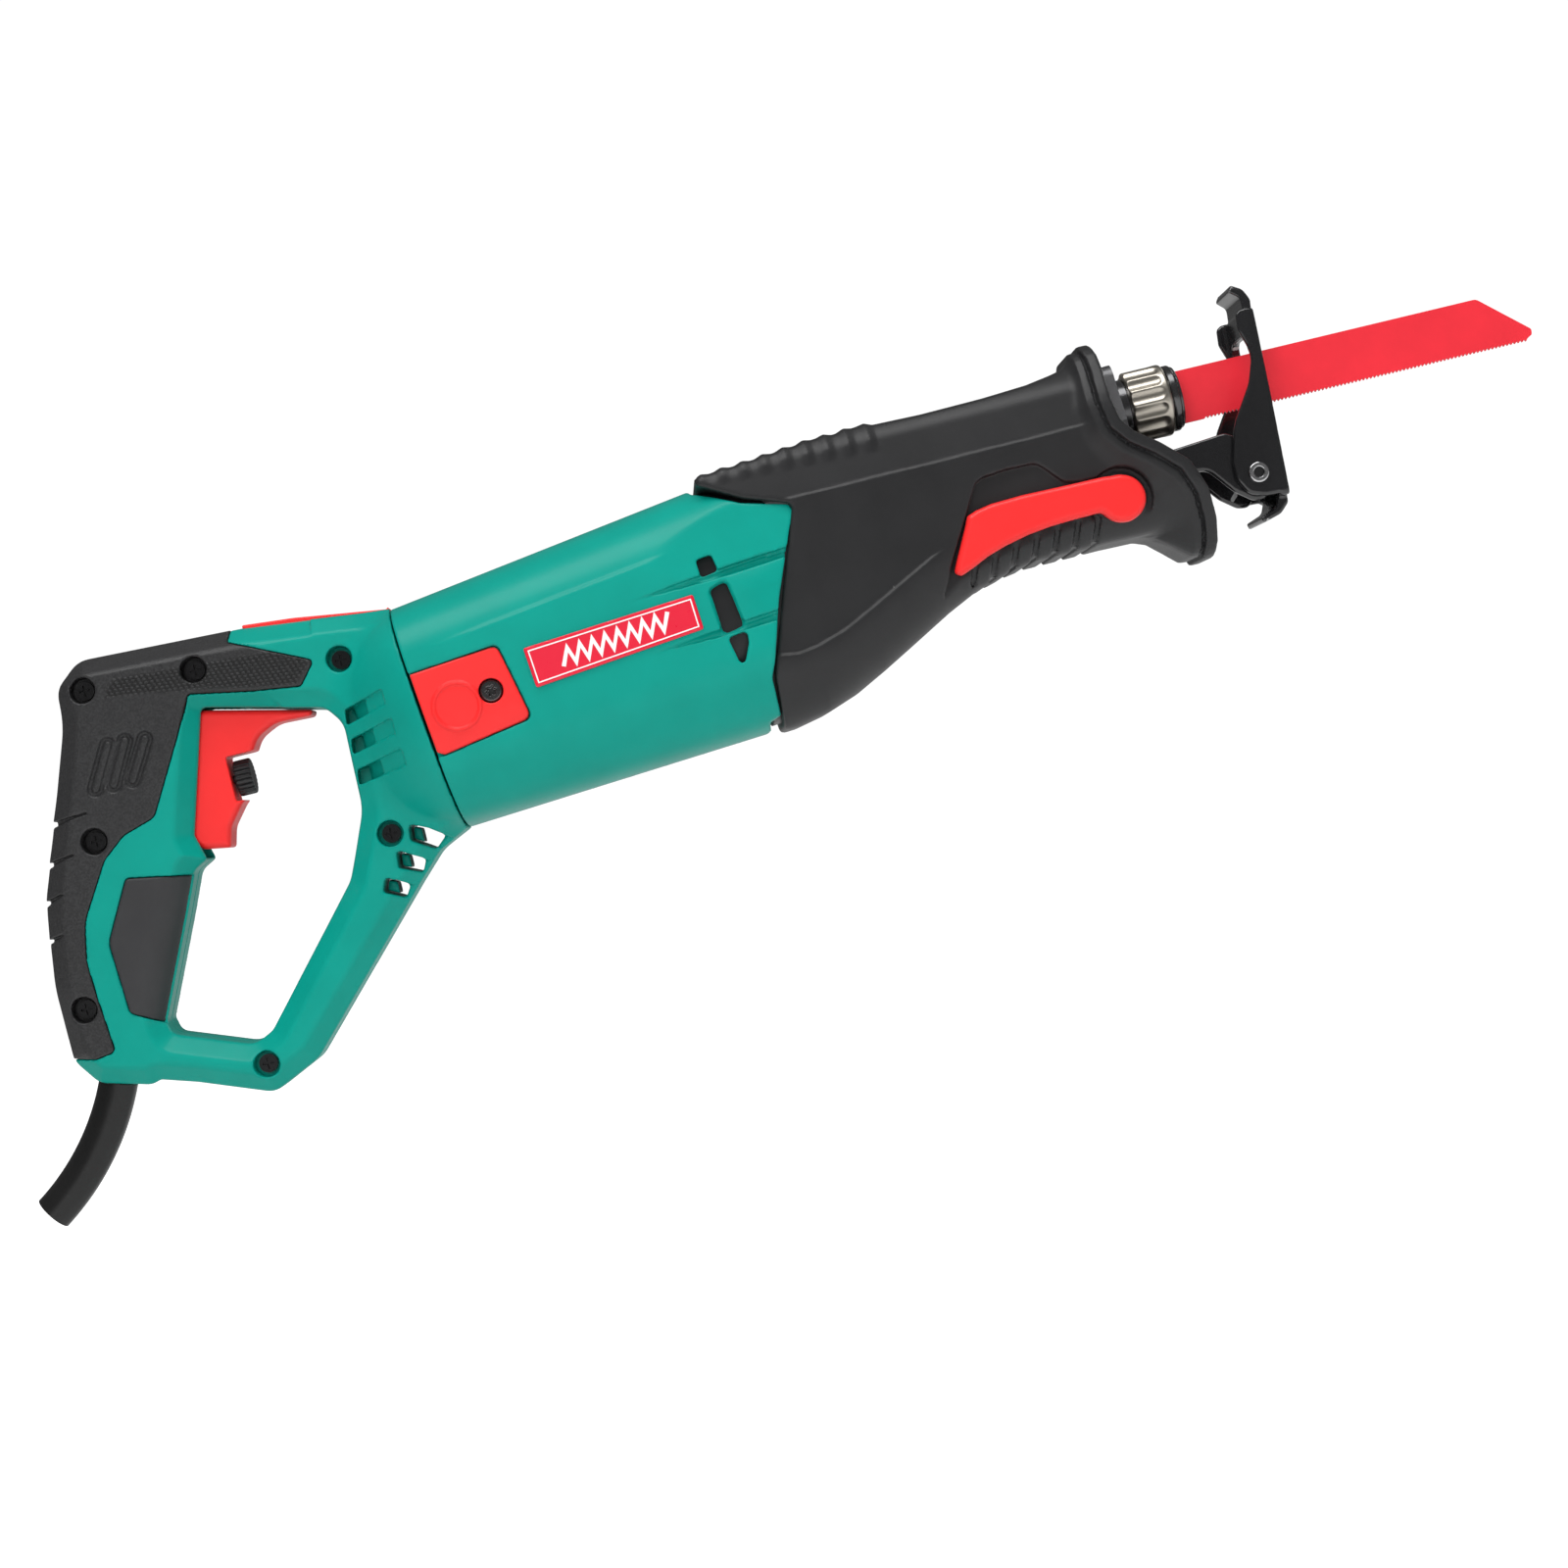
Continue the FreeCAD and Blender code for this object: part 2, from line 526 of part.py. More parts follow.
# slotted brush caps
body = motor_body("brush_caps", compound=True)
for side in SIDES:
    side_pad(body, side, circle(BRUSH_X, 0, 4.0), CAP_FACE, 4.4)
    side_pocket(body, side, block(3.0, 0.6, x=BRUSH_X), CAP_FACE + 3.4, 4)

body = motor_body("name_plates", compound=True)
for side in SIDES:
    side_pad(body, side, outline(NAME_PLATE), PLATE_FACE, 0.6)

body = motor_body("field_stator")
pad(body, CROSS, annulus(0, 0, size("stator_rad"), size("stator_bore")), "dims.stator_len",
    start=38.0, radii=("dims.stator_rad", "dims.stator_bore"))
for sign in (1, -1):
    pocket(body, CROSS, outline(scaled(STATOR_SLOT, sign, 1)), 100, start=60.0, both=True)

# upper and lower field coil: two straight sides and an end turn at each end
body = motor_body("field_coils", compound=True)
for up in (1, -1):
    for across in (-1, 1):
        pad(body, CROSS, outline(scaled(COIL_SIDE, across, up)), 52.0, start=36.0)
    for x in (31.0, 87.0):
        pad(body, CROSS, outline(scaled(COIL_END, 1, up)), 6.0, start=x)

body = motor_body("armature_shaft")
spin(body, PROFILE, outline(SHAFT))

body = motor_body("armature_core")
pad(body, CROSS, annulus(0, 0, size("armature_rad"), SHAFT_RAD), "dims.armature_len",
    start=42.0, radii=("dims.armature_rad",))
slot = pocket(body, CROSS, outline(ARMATURE_SLOT), 60, start=40.0, reverse=True)
polar(body, slot, SLOTS)

# end windings joined by a bar through every slot
body = motor_body("armature_windings")
spin(body, PROFILE, outline(REAR_WINDING))
wire = pad(body, CROSS, box(-1.8, 10.8, 1.8, 16.0), 40.4, start=41.8)
polar(body, wire, SLOTS)
spin(body, PROFILE, outline(FRONT_WINDING))

body = motor_body("commutator")
spin(body, PROFILE, outline(COMMUTATOR))
slit = pocket(body, CROSS, box(-0.35, 11.6, 0.35, 15), 25, start=13.0, reverse=True)
polar(body, slit, BARS)

body = motor_body("cooling_fan")
spin(body, PROFILE, outline([
    (92, SHAFT_RAD), (92, 9.0), (100.5, 11.0), (100.5, size("fan_rad")),
    (102, size("fan_rad")), (102, SHAFT_RAD)]))
fan_blade = pad(body, CROSS, outline(FAN_BLADE), 7.2, start=93.5)
polar(body, fan_blade, 11)

body = motor_body("bearing_rear")
spin(body, PROFILE, outline(REAR_BEARING))
body = motor_body("bearing_front")
spin(body, PROFILE, outline(FRONT_BEARING))

body = motor_body("rear_bracket")
spin(body, PROFILE, outline(REAR_BRACKET))
window = pocket(body, CROSS, outline(BRACKET_WINDOW), 40, reverse=True)
polar(body, window, 4)

body = motor_body("brush_holders", compound=True)
for side in SIDES:
    holder = block(5.5, 5.5, 1, x=BRUSH_X) + block(3.5, 3.3, x=BRUSH_X)
    side_pad(body, side, holder, 14.0, 22.5)

body = motor_body("carbon_brushes", compound=True)
for side in SIDES:
    side_pad(body, side, block(3.4, 3.2, x=BRUSH_X), 12.55, 13.0)

body = motor_body("brush_springs", compound=True)
for side in SIDES:
    coil_spring(body, PROFILE, centre=(BRUSH_X, 0), radii=(2.9, 2.0), first=25.6, pitch=2.7,
                turns=4, ring_length=1.2, link_shift=(2.45, 0), link_radius=0.42,
                link_gap=1.2, link_length=1.5, side=side)

# ======================= gear train =========================================
# Bevel pinion on the armature shaft, crank gear on a vertical axis.  Their
# pitch cones share an apex where the motor axis crosses the gear axis.
GEAR_X = size("gear_pos_x")
THROW = size("crank_throw")
tilt = math.radians(size("motor_tilt"))
apex_station = (GEAR_X - size("motor_pos_x")) / math.cos(tilt)
apex_z = size("motor_pos_z") + (GEAR_X - size("motor_pos_x")) * math.tan(tilt)
PINION_TEETH, GEAR_TEETH = int(size("pinion_teeth")), int(size("gear_teeth"))
PITCH_RAD = size("pitch_rad")
shaft_angle = math.radians(90 + size("motor_tilt"))
pinion_cone = math.atan(math.sin(shaft_angle)
                        / (GEAR_TEETH / PINION_TEETH + math.cos(shaft_angle)))
gear_cone = shaft_angle - pinion_cone
cone_length = PITCH_RAD / math.sin(gear_cone)
FACE_WIDTH = 8.0
tooth_module = 2 * PITCH_RAD / GEAR_TEETH
PRESSURE_ANGLE = math.radians(25)
ADDENDUM = 0.72       # tooth tip over the pitch line, in modules
FLANK_SHAVE = 0.14    # taken off each flank for backlash
PIN_RAD = 3.2         # crank pin
BEARING_RAD = 8.1     # spindle bearing
GEAR_BIND = {"x": "dims.gear_pos_x"}


def pinion_tooth(pitch_radius, dedendum):
    """Involute pinion tooth pointing to local +y."""
    base_radius = pitch_radius * math.cos(PRESSURE_ANGLE)
    tip_radius = pitch_radius + ADDENDUM * tooth_module
    root_radius = pitch_radius - dedendum
    half_angle = math.pi / (2 * PINION_TEETH) - FLANK_SHAVE / pitch_radius
    base_angle = half_angle + math.tan(PRESSURE_ANGLE) - PRESSURE_ANGLE
    start_radius = max(base_radius, root_radius)
    flank = []
    for i in range(5):
        radius = start_radius + (tip_radius - start_radius) * i / 4.0
        roll = math.acos(min(1.0, base_radius / radius))
        angle = base_angle - (math.tan(roll) - roll)
        flank.append((radius * math.sin(angle), radius * math.cos(angle)))
    # a foot well inside the root cone
    foot_angle = math.atan2(flank[0][0], flank[0][1])
    foot_radius = 0.72 * root_radius
    flank.insert(0, (foot_radius * math.sin(foot_angle), foot_radius * math.cos(foot_angle)))
    return flank + [(-x, y) for x, y in reversed(flank)]


# turned half a tooth, so that a tooth meets a gap of the crank gear at rest
body = motor_body("drive_pinion", roll=180.0 / PINION_TEETH)
outer_x = apex_station - cone_length * math.cos(pinion_cone)
inner_x = apex_station - (cone_length - FACE_WIDTH) * math.cos(pinion_cone)
inner_scale = (cone_length - FACE_WIDTH) / cone_length
outer_pitch = cone_length * math.sin(pinion_cone)
outer_root = outer_pitch - tooth_module
spin(body, PROFILE, outline([
    (outer_x - 1.4, 2.2), (outer_x - 1.4, outer_root), (outer_x, outer_root),
    (inner_x, outer_root * inner_scale), (inner_x, 2.2)]))
tooth_points = pinion_tooth(outer_pitch, tooth_module)
tooth = loft(body, [
    (outer_x, outline(tooth_points)),
    (inner_x, outline(scaled(tooth_points, inner_scale, inner_scale)))], ruled=True)
polar(body, tooth, PINION_TEETH)


def pitch_height(radius):
    """Height of the gear's pitch cone over the apex."""
    return radius / math.tan(gear_cone)


def root_height(radius):
    return pitch_height(radius) + tooth_module * radius / PITCH_RAD


def gear_tooth(radius):
    """Straight-sided tooth of the crank gear, pointing down."""
    scale = radius / PITCH_RAD
    local_module = tooth_module * scale
    half = math.pi * local_module / 4 - FLANK_SHAVE * scale
    slope = math.tan(PRESSURE_ANGLE)
    addendum, dedendum = ADDENDUM * local_module, 1.05 * local_module
    z = pitch_height(radius)
    return outline([
        (-half - dedendum * slope, z + dedendum), (-half + addendum * slope, z - addendum),
        (half - addendum * slope, z - addendum), (half + dedendum * slope, z + dedendum)])


# Gear frame: local z runs up the gear axis from the apex.
GEAR_AT = Placement(Vector(GEAR_X, 0, apex_z), Rotation())
gear_top = -18.0 - apex_z
gear_rim = size("gear_rad")
body = new_body("crank_gear", GEAR_AT, bind=GEAR_BIND)
spin(body, PROFILE, outline([
    (BEARING_RAD, 2.0), (BEARING_RAD, gear_top + 0.8), (10.5, gear_top + 0.8),
    (10.5, gear_top), (gear_rim, gear_top), (gear_rim, root_height(gear_rim)),
    (16.6, root_height(16.6)), (14.5, 2.0)]), axis="V_Axis")
tooth = loft(body, [(x, gear_tooth(x)) for x in (26.6, 17.3)], ruled=True)
polar(body, tooth, GEAR_TEETH, sketch(body, PLAN, circle(0, 0, 1.0)))
# crank pin and its boss; at rest the pin points to the rear
pad(body, PLAN, circle(-THROW, 0, 6.5), 1.4, start=gear_top - 0.2)
pad(body, PLAN, circle(-THROW, 0, PIN_RAD), 15.2, start=gear_top)

body = new_body("crank_roller", Placement(Vector(GEAR_X - THROW, 0, 0), Rotation()),
                bind={"x": "dims.gear_pos_x - dims.crank_throw"})
pad(body, PLAN, annulus(0, 0, size("roller_rad"), PIN_RAD), 9.4, start=-12.6,
    radii=("dims.roller_rad",))

body = new_body("gear_spindle", GEAR_AT, bind=GEAR_BIND)
spin(body, PROFILE, outline([
    (0, -27.3), (9.0, -27.3), (9.0, -13.0), (8.0, -12.0), (8.0, 0.6), (5.0, 0.6),
    (5.0, gear_top - 1.0), (0, gear_top - 1.0)]), axis="V_Axis")

body = new_body("gear_bearing", GEAR_AT, bind=GEAR_BIND)
spin(body, PROFILE, outline([
    (5.06, 0.7), (BEARING_RAD, 0.7), (BEARING_RAD, gear_top - 1.2),
    (5.06, gear_top - 1.2)]), axis="V_Axis")

# ======================= plunger and chuck ==================================
PLUNGER_RAD = size("plunger_rad")
CHUCK_RAD = size("chuck_rad")
COLLAR_RAD = size("collar_rad")
LOCK_PIN_X = -9.0
LOCK_PIN_RAD = 1.9

# plunger with the slotted cross yoke for the crank roller at its rear
body = new_body("plunger")
spin(body, PROFILE, outline([
    (-128, 0), (-128, PLUNGER_RAD), (-23, PLUNGER_RAD), (-22, CHUCK_RAD, 0.5),
    (-1.5, CHUCK_RAD, 0.5), (-1.5, 0)]))
yoke_x = GEAR_X - THROW
pad(body, PLAN, block(13.6, 23.6, 4, x=yoke_x), 15.0, start=-11.6)
pocket(body, PLAN, block(8.6, 20.2, 5.6, x=yoke_x), 9.6, start=-12.0, reverse=True)
# blade slot and lock pin hole
pocket(body, CROSS, block(0.7, 6.3), 40, start=-20.2, reverse=True)
pocket(body, PROFILE, circle(LOCK_PIN_X, 0, LOCK_PIN_RAD + 0.05), 40, both=True)

body = new_body("blade_lock_pin")
pad(body, PROFILE, circle(LOCK_PIN_X, 0, LOCK_PIN_RAD), 19.4, both=True)

body = new_body("front_sleeve")
pad(body, CROSS, annulus(0, 0, size("sleeve_rad"), CHUCK_RAD + 0.02), 4.5, start=-4.9,
    radii=("dims.sleeve_rad",))

# collar with a ring of grip flutes
body = new_body("blade_collar")
spin(body, PROFILE, outline([
    (-20.0, 12.3), (-20.0, COLLAR_RAD - 0.5), (-19.5, COLLAR_RAD), (-5.8, COLLAR_RAD),
    (-5.05, COLLAR_RAD - 0.7), (-5.05, 10.08), (-9.5, 10.08), (-9.5, 11.9), (-18.5, 11.9),
    (-18.5, 12.3)]))
flute = pocket(body, CROSS, circle(0, COLLAR_RAD + 1.35, 2.1), 12.0, start=-20.5, reverse=True)
polar(body, flute, 15)

body = new_body("collar_spring")
coil_spring(body, CROSS, centre=(0, 0), radii=(11.3, 10.4), first=-18.0, pitch=2.2,
            turns=4, ring_length=1.0, link_shift=(0, 10.85), link_radius=0.42,
            link_gap=0.9, link_length=1.4)

# blade: back and tip, teeth from the tip to the chuck, then the tang
body = new_body("blade")
blade_top, tooth_tip = size("blade_top"), -size("blade_low")
tooth_root = tooth_tip + 0.9
blade_points = [
    (-0.3, blade_top), (115.0, blade_top, 3), (132.6, -6.2, 1.5), (132.2, -8.2, 1.0),
    (130.3, tooth_root)]
x = 129.6
for i in range(int(124 / size("tooth_pitch"))):
    blade_points.append((x, tooth_tip))
    blade_points.append((x - 0.45, tooth_root))
    x -= size("tooth_pitch")
blade_points += [
    (x, tooth_tip), (-0.3, tooth_tip), (-0.3, -5.9), (-17.5, -5.9, 1.5), (-17.5, 5.9, 1.5),
    (-0.3, 5.9)]
pad(body, PROFILE, outline(blade_points) + circle(LOCK_PIN_X, 0, LOCK_PIN_RAD + 0.1),
    "dims.blade_thick", both=True)

# ======================= gear case and rubber boot ==========================
# Nose stations: x, top, bottom, half width, top and bottom corner radius
NOSE = [
    (-181.0, 8.3, -84.8, 37.5, 9, 24), (-150, 11.2, -80.6, 37.0, 9, 24),
    (-122, 13.0, -68.6, 34.5, 9, 22), (-97, 13.1, -56.4, 31.8, 9, 18),
    (-66, 14.2, -48.0, 28.5, 8.5, 14), (-42, 16.8, -47.6, 27.0, 8.5, 14),
    (-24, 18.0, -48.5, 27.0, 8.5, 14)]
CREASE_Z = -6.0
LEVER_X, LEVER_Z = size("lever_pos_x"), size("lever_pos_z")
# Side outlines: x, z, corner radius
BOOT_RIM = [
    (-41, 16.0), (-38.6, 20.4, 4), (-36.8, 23.6, 3), (-33.8, 24.7, 3), (-31, 24.2, 2),
    (-28.2, 18.6, 6), (-26.6, 9, 8), (-25.6, -3.0, 8), (-17.2, -17, 20), (-6.6, -29.5, 12),
    (-3.4, -41.0, 14), (-2.6, -52.4, 10), (-4.4, -60.2, 2), (-8.0, -60.6, 2),
    (-14.0, -54.0, 6), (-21, -48.8, 8), (-27, -46), (-38, -10)]
BOOT_REAR_CUT = [
    (-200, 20), (-180.6, 20), (-180.6, 5.4), (-166.2, -3.0), (-151.0, -8.2, 2),
    (-150.4, -9.8, 2), (-160.5, -37.7), (-169.2, -62.7, 4), (-170.4, -66), (-170.1, -76),
    (-173.2, -85.5), (-173.2, -95), (-200, -95)]
CASE_REAR_CUT = [
    (-200, 20), (-180.6, 20), (-167.0, 5.4), (-161.3, -3.0), (-154.4, -12), (-158.4, -37.7),
    (-168.1, -62.7), (-169.1, -71), (-169.1, -95), (-200, -95)]
LEVER_RECESS = [
    (-106, -38, 4), (-84.0, -14.2, 3), (-62.0, -13.4, 3), (-53, -22.4, 4), (-42, -23.4, 3),
    (-42, -46.5, 3), (-58, -46.6), (-78, -48), (-104, -58, 5)]
CASE_FLAT = [
    (-106.4, -38, 4), (-84.2, -13.8, 3), (-61.8, -13.0, 3), (-52.8, -22.0, 4),
    (-41.6, -23.0, 3), (-41.6, -60), (-106.4, -66)]
CASE_POCKET = [(-90, -32, 2), (-47, -32, 2), (-47, -41, 2), (-90, -46, 2)]
# Cross outlines: y, z, corner radius
RIM_FACE = [
    (-21, 24.9, 14), (21, 24.9, 14), (31, 0, 30), (31.5, -36, 16), (20, -60.8, 16),
    (-20, -60.8, 16), (-31.5, -36, 16), (-31, 0, 30)]
BOOT_MOUTH = [
    (-19.5, 17.5, 10), (19.5, 17.5, 10), (21.5, -30, 10), (19.5, -49.5, 8),
    (-19.5, -49.5, 8), (-21.5, -30, 10)]
PLATE_FACE_OUTLINE = [(-30, 14, 5), (30, 14, 5), (30, -27, 8), (-30, -27, 8)]
# Plunger bore with its bush seats: x, radius
CASE_BORE = [
    (-100, 0), (-100, 8.6), (-92, 8.6), (-92, 10.5), (-82, 10.5), (-82, 8.6), (-52, 8.6),
    (-52, 10.5), (-30, 10.5), (-30, 11.4), (-20, 11.4), (-20, 0)]
BUSH_RAD = 10.5


def nose_sections(inset, first_x=None, rows=NOSE, lift=0.0):
    """Nose sections: upright sides below a crease, leaning in above it."""
    sections = []
    for i, (x, top, bottom, half, top_round, bottom_round) in enumerate(rows):
        if i == 0 and first_x is not None:
            x = first_x
        top = top + lift
        top_half = half - 0.25 * (top - CREASE_Z) - inset
        side_half = half - inset
        sections.append((x, outline([
            (-top_half, top - inset, top_round - inset),
            (top_half, top - inset, top_round - inset), (side_half, CREASE_Z),
            (side_half, bottom + inset, bottom_round - inset),
            (-side_half, bottom + inset, bottom_round - inset), (-side_half, CREASE_Z)])))
    return sections


body = new_body("nose_boot")
loft(body, nose_sections(0.0))
# flared front rim, trimmed to its shape as seen from the front
pad(body, PROFILE, outline(BOOT_RIM), 64, both=True)
pocket(body, CROSS, box(-60, -90, 60, 60) + outline(RIM_FACE), 60, start=-41.5, reverse=True)
# rear edge follows the motor housing cheeks
pocket(body, PROFILE, outline(BOOT_REAR_CUT), 200, both=True)
loft(body, nose_sections(size("boot_wall"), first_x=-182.0), cut=True)
# the mouth, open to the front for collar and shoe bracket
pocket(body, CROSS, outline(BOOT_MOUTH), 60, start=-25.5, reverse=True)
# shallow ribbed recess under the lock lever, right-hand side
side_pad(body, RIGHT, outline(LEVER_RECESS), 26.0, 1.3)
side_pocket(body, RIGHT, outline(LEVER_RECESS), 27.3, 20)
for i in range(6):
    x = -58.0 - 6.6 * i
    rib = outline([(x, -24.5), (x + 2.2, -24.5), (x - 0.5, -44.0), (x - 2.7, -44.0)])
    side_pad(body, RIGHT, rib, 27.0, 0.7)
side_pocket(body, RIGHT, circle(LEVER_X, LEVER_Z, 11.4), 0, 60)
side_pocket(body, LEFT, circle(LEVER_X, LEVER_Z, 6.2), 0, 60)

body = new_body("gear_case")
case_inset = size("boot_wall") + 0.15
loft(body, nose_sections(case_inset, first_x=-172.0))
pocket(body, PROFILE, outline(CASE_REAR_CUT), 200, both=True)
# gear chamber
loft(body, nose_sections(case_inset + size("case_wall"), first_x=-174.0, rows=NOSE[:4],
                         lift=0.6), cut=True)
# plunger bore, bracket tongue slot, then the mouth
spin(body, PROFILE, outline(CASE_BORE), cut=True)
pocket(body, CROSS, box(-12.4, -28.4, 12.4, -23.6), 90, start=-99.0, reverse=True)
pocket(body, CROSS, box(-40, -60, 40, 30), 60, start=-25.6, reverse=True)
pocket(body, CROSS, box(-30, -60, 30, -15.5), 60, start=-31.5, reverse=True)
# cross bore for the lever cam and a flat for the boot's lever recess
pocket(body, PROFILE, circle(LEVER_X, LEVER_Z, 5.8), 200, both=True)
side_pocket(body, RIGHT, outline(CASE_FLAT), 25.8, 20)
# lightening pocket under the plunger
pocket(body, PROFILE, outline(CASE_POCKET), 38, both=True)
# spindle foot
pad(body, PLAN, annulus(GEAR_X, 0, 11.5, 9.05), 9.0, start=apex_z - 27.5)
pad(body, PLAN, circle(GEAR_X - 5.0, 0, 6.0), 5.6, start=apex_z - 33.0)

# flanged ring round the front armature bearing, trimmed to a rounded plate
body = motor_body("bearing_plate")
spin(body, PROFILE, outline([
    (126.0, 13.05), (126.0, 15.5), (129.5, 15.5), (129.5, 31.0), (132.5, 31.0),
    (132.5, 15.5), (137.5, 15.5), (137.5, 13.05)]))
pocket(body, CROSS, block(60, 60) + outline(PLATE_FACE_OUTLINE), 30, start=120.0, reverse=True)

for name, x, length in (("bush_rear", -92.0, 10.0), ("bush_front", -52.0, 22.0)):
    body = new_body(name)
    pad(body, CROSS, annulus(0, 0, BUSH_RAD, PLUNGER_RAD + 0.05), length, start=x)

body = new_body("plunger_seal")
spin(body, PROFILE, outline([
    (-29.9, 8.1), (-29.9, 11.4), (-26.0, 11.4), (-26.0, 9.4), (-28.2, 9.0), (-27.2, 8.1)]))

# ======================= shoe, bracket, lock lever ==========================
PIN_X, PIN_Z = size("shoe_pin_x"), size("shoe_pin_z")
SHOE_PIN_RAD = 2.6
SHOE_INNER, SHOE_SHEET = size("shoe_inner"), size("shoe_sheet")
BRACKET_HALF = size("bracket_half")
# Side outlines: x, z, corner radius
BRACKET_ARM = [
    (-13, -19.8, 3), (10, -18.0, 5), (20.8, -26, 8), (22.4, -38, 6), (17.5, -45.8, 5),
    (12.8, -46.2, 5), (5.5, -42.5, 6), (-2.6, -31.5, 6), (-13, -29.0, 2)]
SHOE_FLANGE = [
    (24.4, 23.6), (29.4, 23.1), (28.2, -7.9), (26.5, -44.2), (17, -43.6, 6),
    (10.5, -40.0, 6), (8.9, -33, 6), (12.6, -17.6, 10), (21.6, -3.0, 14), (24.9, 7, 8),
    (22.6, 15.5, 6)]
SHOE_PLATE = [
    (26.0, 23.2), (29.3, 22.4), (28.2, -7.9), (26.5, -44.0), (23.6, -43.8), (25.2, -7.9)]
TOP_HOOK = [
    (26.2, 22.8), (29.2, 22.8), (29.9, 26.5, 4), (28.4, 30.6, 4), (24.4, 33.6, 0.8),
    (22.8, 31.6, 0.8), (26.4, 28.4, 3)]
FOOT_HOOK = [
    (23.7, -43.5), (26.5, -43.5), (26.6, -47.5, 3), (23, -51.0, 4), (16.2, -52.8, 0.8),
    (15.8, -50.4, 0.8), (21.8, -48.6, 3)]
LEVER = [
    (-34.9, -24.9, 8), (-27.2, -25.4, 7.5), (-26.8, -42.2, 7.5), (-42.0, -41.5, 3),
    (-46.0, -36.6, 8), (-62, -37.3, 60), (-79.5, -40.1, 30), (-96.5, -46.6, 2),
    (-99.6, -44.8, 1.5), (-91.0, -27.6, 6), (-84.0, -24.8, 8), (-66, -24.2, 60)]

# slotted tongue with a pivot arm on each side
body = new_body("shoe_bracket")
pad(body, PLAN, box(-80, -BRACKET_HALF, 3.0, BRACKET_HALF, 2), "dims.bracket_thick",
    start=-28.0)
pocket(body, PLAN, box(-66, -3.5, -24, 3.5, 3.4), 10, start=-30.0, reverse=True)
for side in SIDES:
    side_pad(body, side, outline(BRACKET_ARM) + circle(PIN_X, PIN_Z, SHOE_PIN_RAD), 11.9, 2.6)

# pin with a dished head at each end
body = new_body("shoe_pin")
pad(body, PROFILE, circle(PIN_X, PIN_Z, SHOE_PIN_RAD - 0.02), 39.2, start=-19.6)
for side in SIDES:
    side_pad(body, side, circle(PIN_X, PIN_Z, 3.8), 18.0, 2.0)
for side in SIDES:
    side_pocket(body, side, circle(PIN_X, PIN_Z, 2.1), 18.6, 5)

body = new_body("shoe")
pad(body, PROFILE, outline(SHOE_PLATE), 2 * (SHOE_INNER + SHOE_SHEET),
    start=-SHOE_INNER - SHOE_SHEET)
for side in SIDES:
    side_pad(body, side, outline(SHOE_FLANGE) + circle(PIN_X, PIN_Z, SHOE_PIN_RAD + 0.05),
             SHOE_INNER, SHOE_SHEET)
# blade window
pocket(body, CROSS, block(14.3, 15.0, 5), 60, reverse=True)
# curled hooks at top and foot
for points in (TOP_HOOK, FOOT_HOOK):
    pad(body, PROFILE, outline(points), 26.0, start=-13.0)

# lever with a ring groove round its pivot
body = new_body("lock_lever")
pad(body, PROFILE, outline(LEVER), "dims.lever_thick", start=27.8)
side_pocket(body, RIGHT, annulus(LEVER_X, LEVER_Z, 5.6, 4.9), 33.0, 3)

# stepped cam shaft across the case, its middle slightly raised
body = new_body("lever_cam")
pad(body, PROFILE, circle(LEVER_X, LEVER_Z, 5.0), 17.78, start=10.0)
pad(body, PROFILE, circle(LEVER_X, LEVER_Z + 0.6, 4.9), 20.2, start=-10.0)
pad(body, PROFILE, circle(LEVER_X, LEVER_Z, 4.0), 10.2, start=-20.0)

# ======================= trigger, dial, switch ==============================
DIAL_Z = size("dial_pos_z")
DIAL_RAD = size("dial_rad")
SPRING_Z = -45.0
TRIGGER = [
    (-388, -29.6, 1), (-371.5, -28.2, 1), (-334.8, -37.2, 2), (-335.5, -39.4, 1.5),
    (-346.7, -38.9, 4), (-352.8, -41.6, 4), (-357.4, -48.2, 5), (-361.6, -61.6, 8),
    (-368.6, -70.2, 6), (-371.6, -78.3, 1), (-381.0, -78.3, 2), (-388, -74, 1)]

# trigger with a dial slot, the dial's axle hole and a spring bore at the rear
body = new_body("trigger")
pad(body, PROFILE, outline(TRIGGER), "dims.trigger_half * 2", both=True)
pocket(body, PROFILE, box(-365.4, -61.6, -350, -47.6, 1.0), 60, both=True)
pocket(body, CROSS, circle(0, DIAL_Z, 1.7), 20, start=-371.0, reverse=True)
pocket(body, CROSS, circle(0, SPRING_Z, 3.6), 11.0, start=-389.0, reverse=True)

# dial with a ring of small flutes and an axle to the rear
body = new_body("speed_dial", Placement(Vector(-365.0, 0, DIAL_Z), Rotation()),
                bind={"z": "dims.dial_pos_z"})
spin(body, PROFILE, outline([
    (0, 0), (0, DIAL_RAD - 0.5), (0.5, DIAL_RAD), (6.6, DIAL_RAD), (7.4, DIAL_RAD - 0.8),
    (7.4, 0)]))
flute = pocket(body, CROSS, circle(0, DIAL_RAD + 0.35, 0.75), 12, start=-0.5, reverse=True)
polar(body, flute, 20)
pad(body, CROSS, circle(0, 0, 1.65), 5.6, start=-5.5)

# switch block with a plunger stub at the front
body = new_body("switch_body")
pad(body, PROFILE, box(-411.2, -74, -400.0, -30, 1.5), 17.0, both=True)
pad(body, PROFILE, box(-400.5, -70, -397.4, -60, 0.8), 8.0, both=True)

body = new_body("trigger_spring")
coil_spring(body, CROSS, centre=(0, SPRING_Z), radii=(3.1, 2.3), first=-399.9, pitch=4.2,
            turns=6, ring_length=0.8, link_shift=(0, 2.7), link_radius=0.4,
            link_gap=0.7, link_length=3.6)

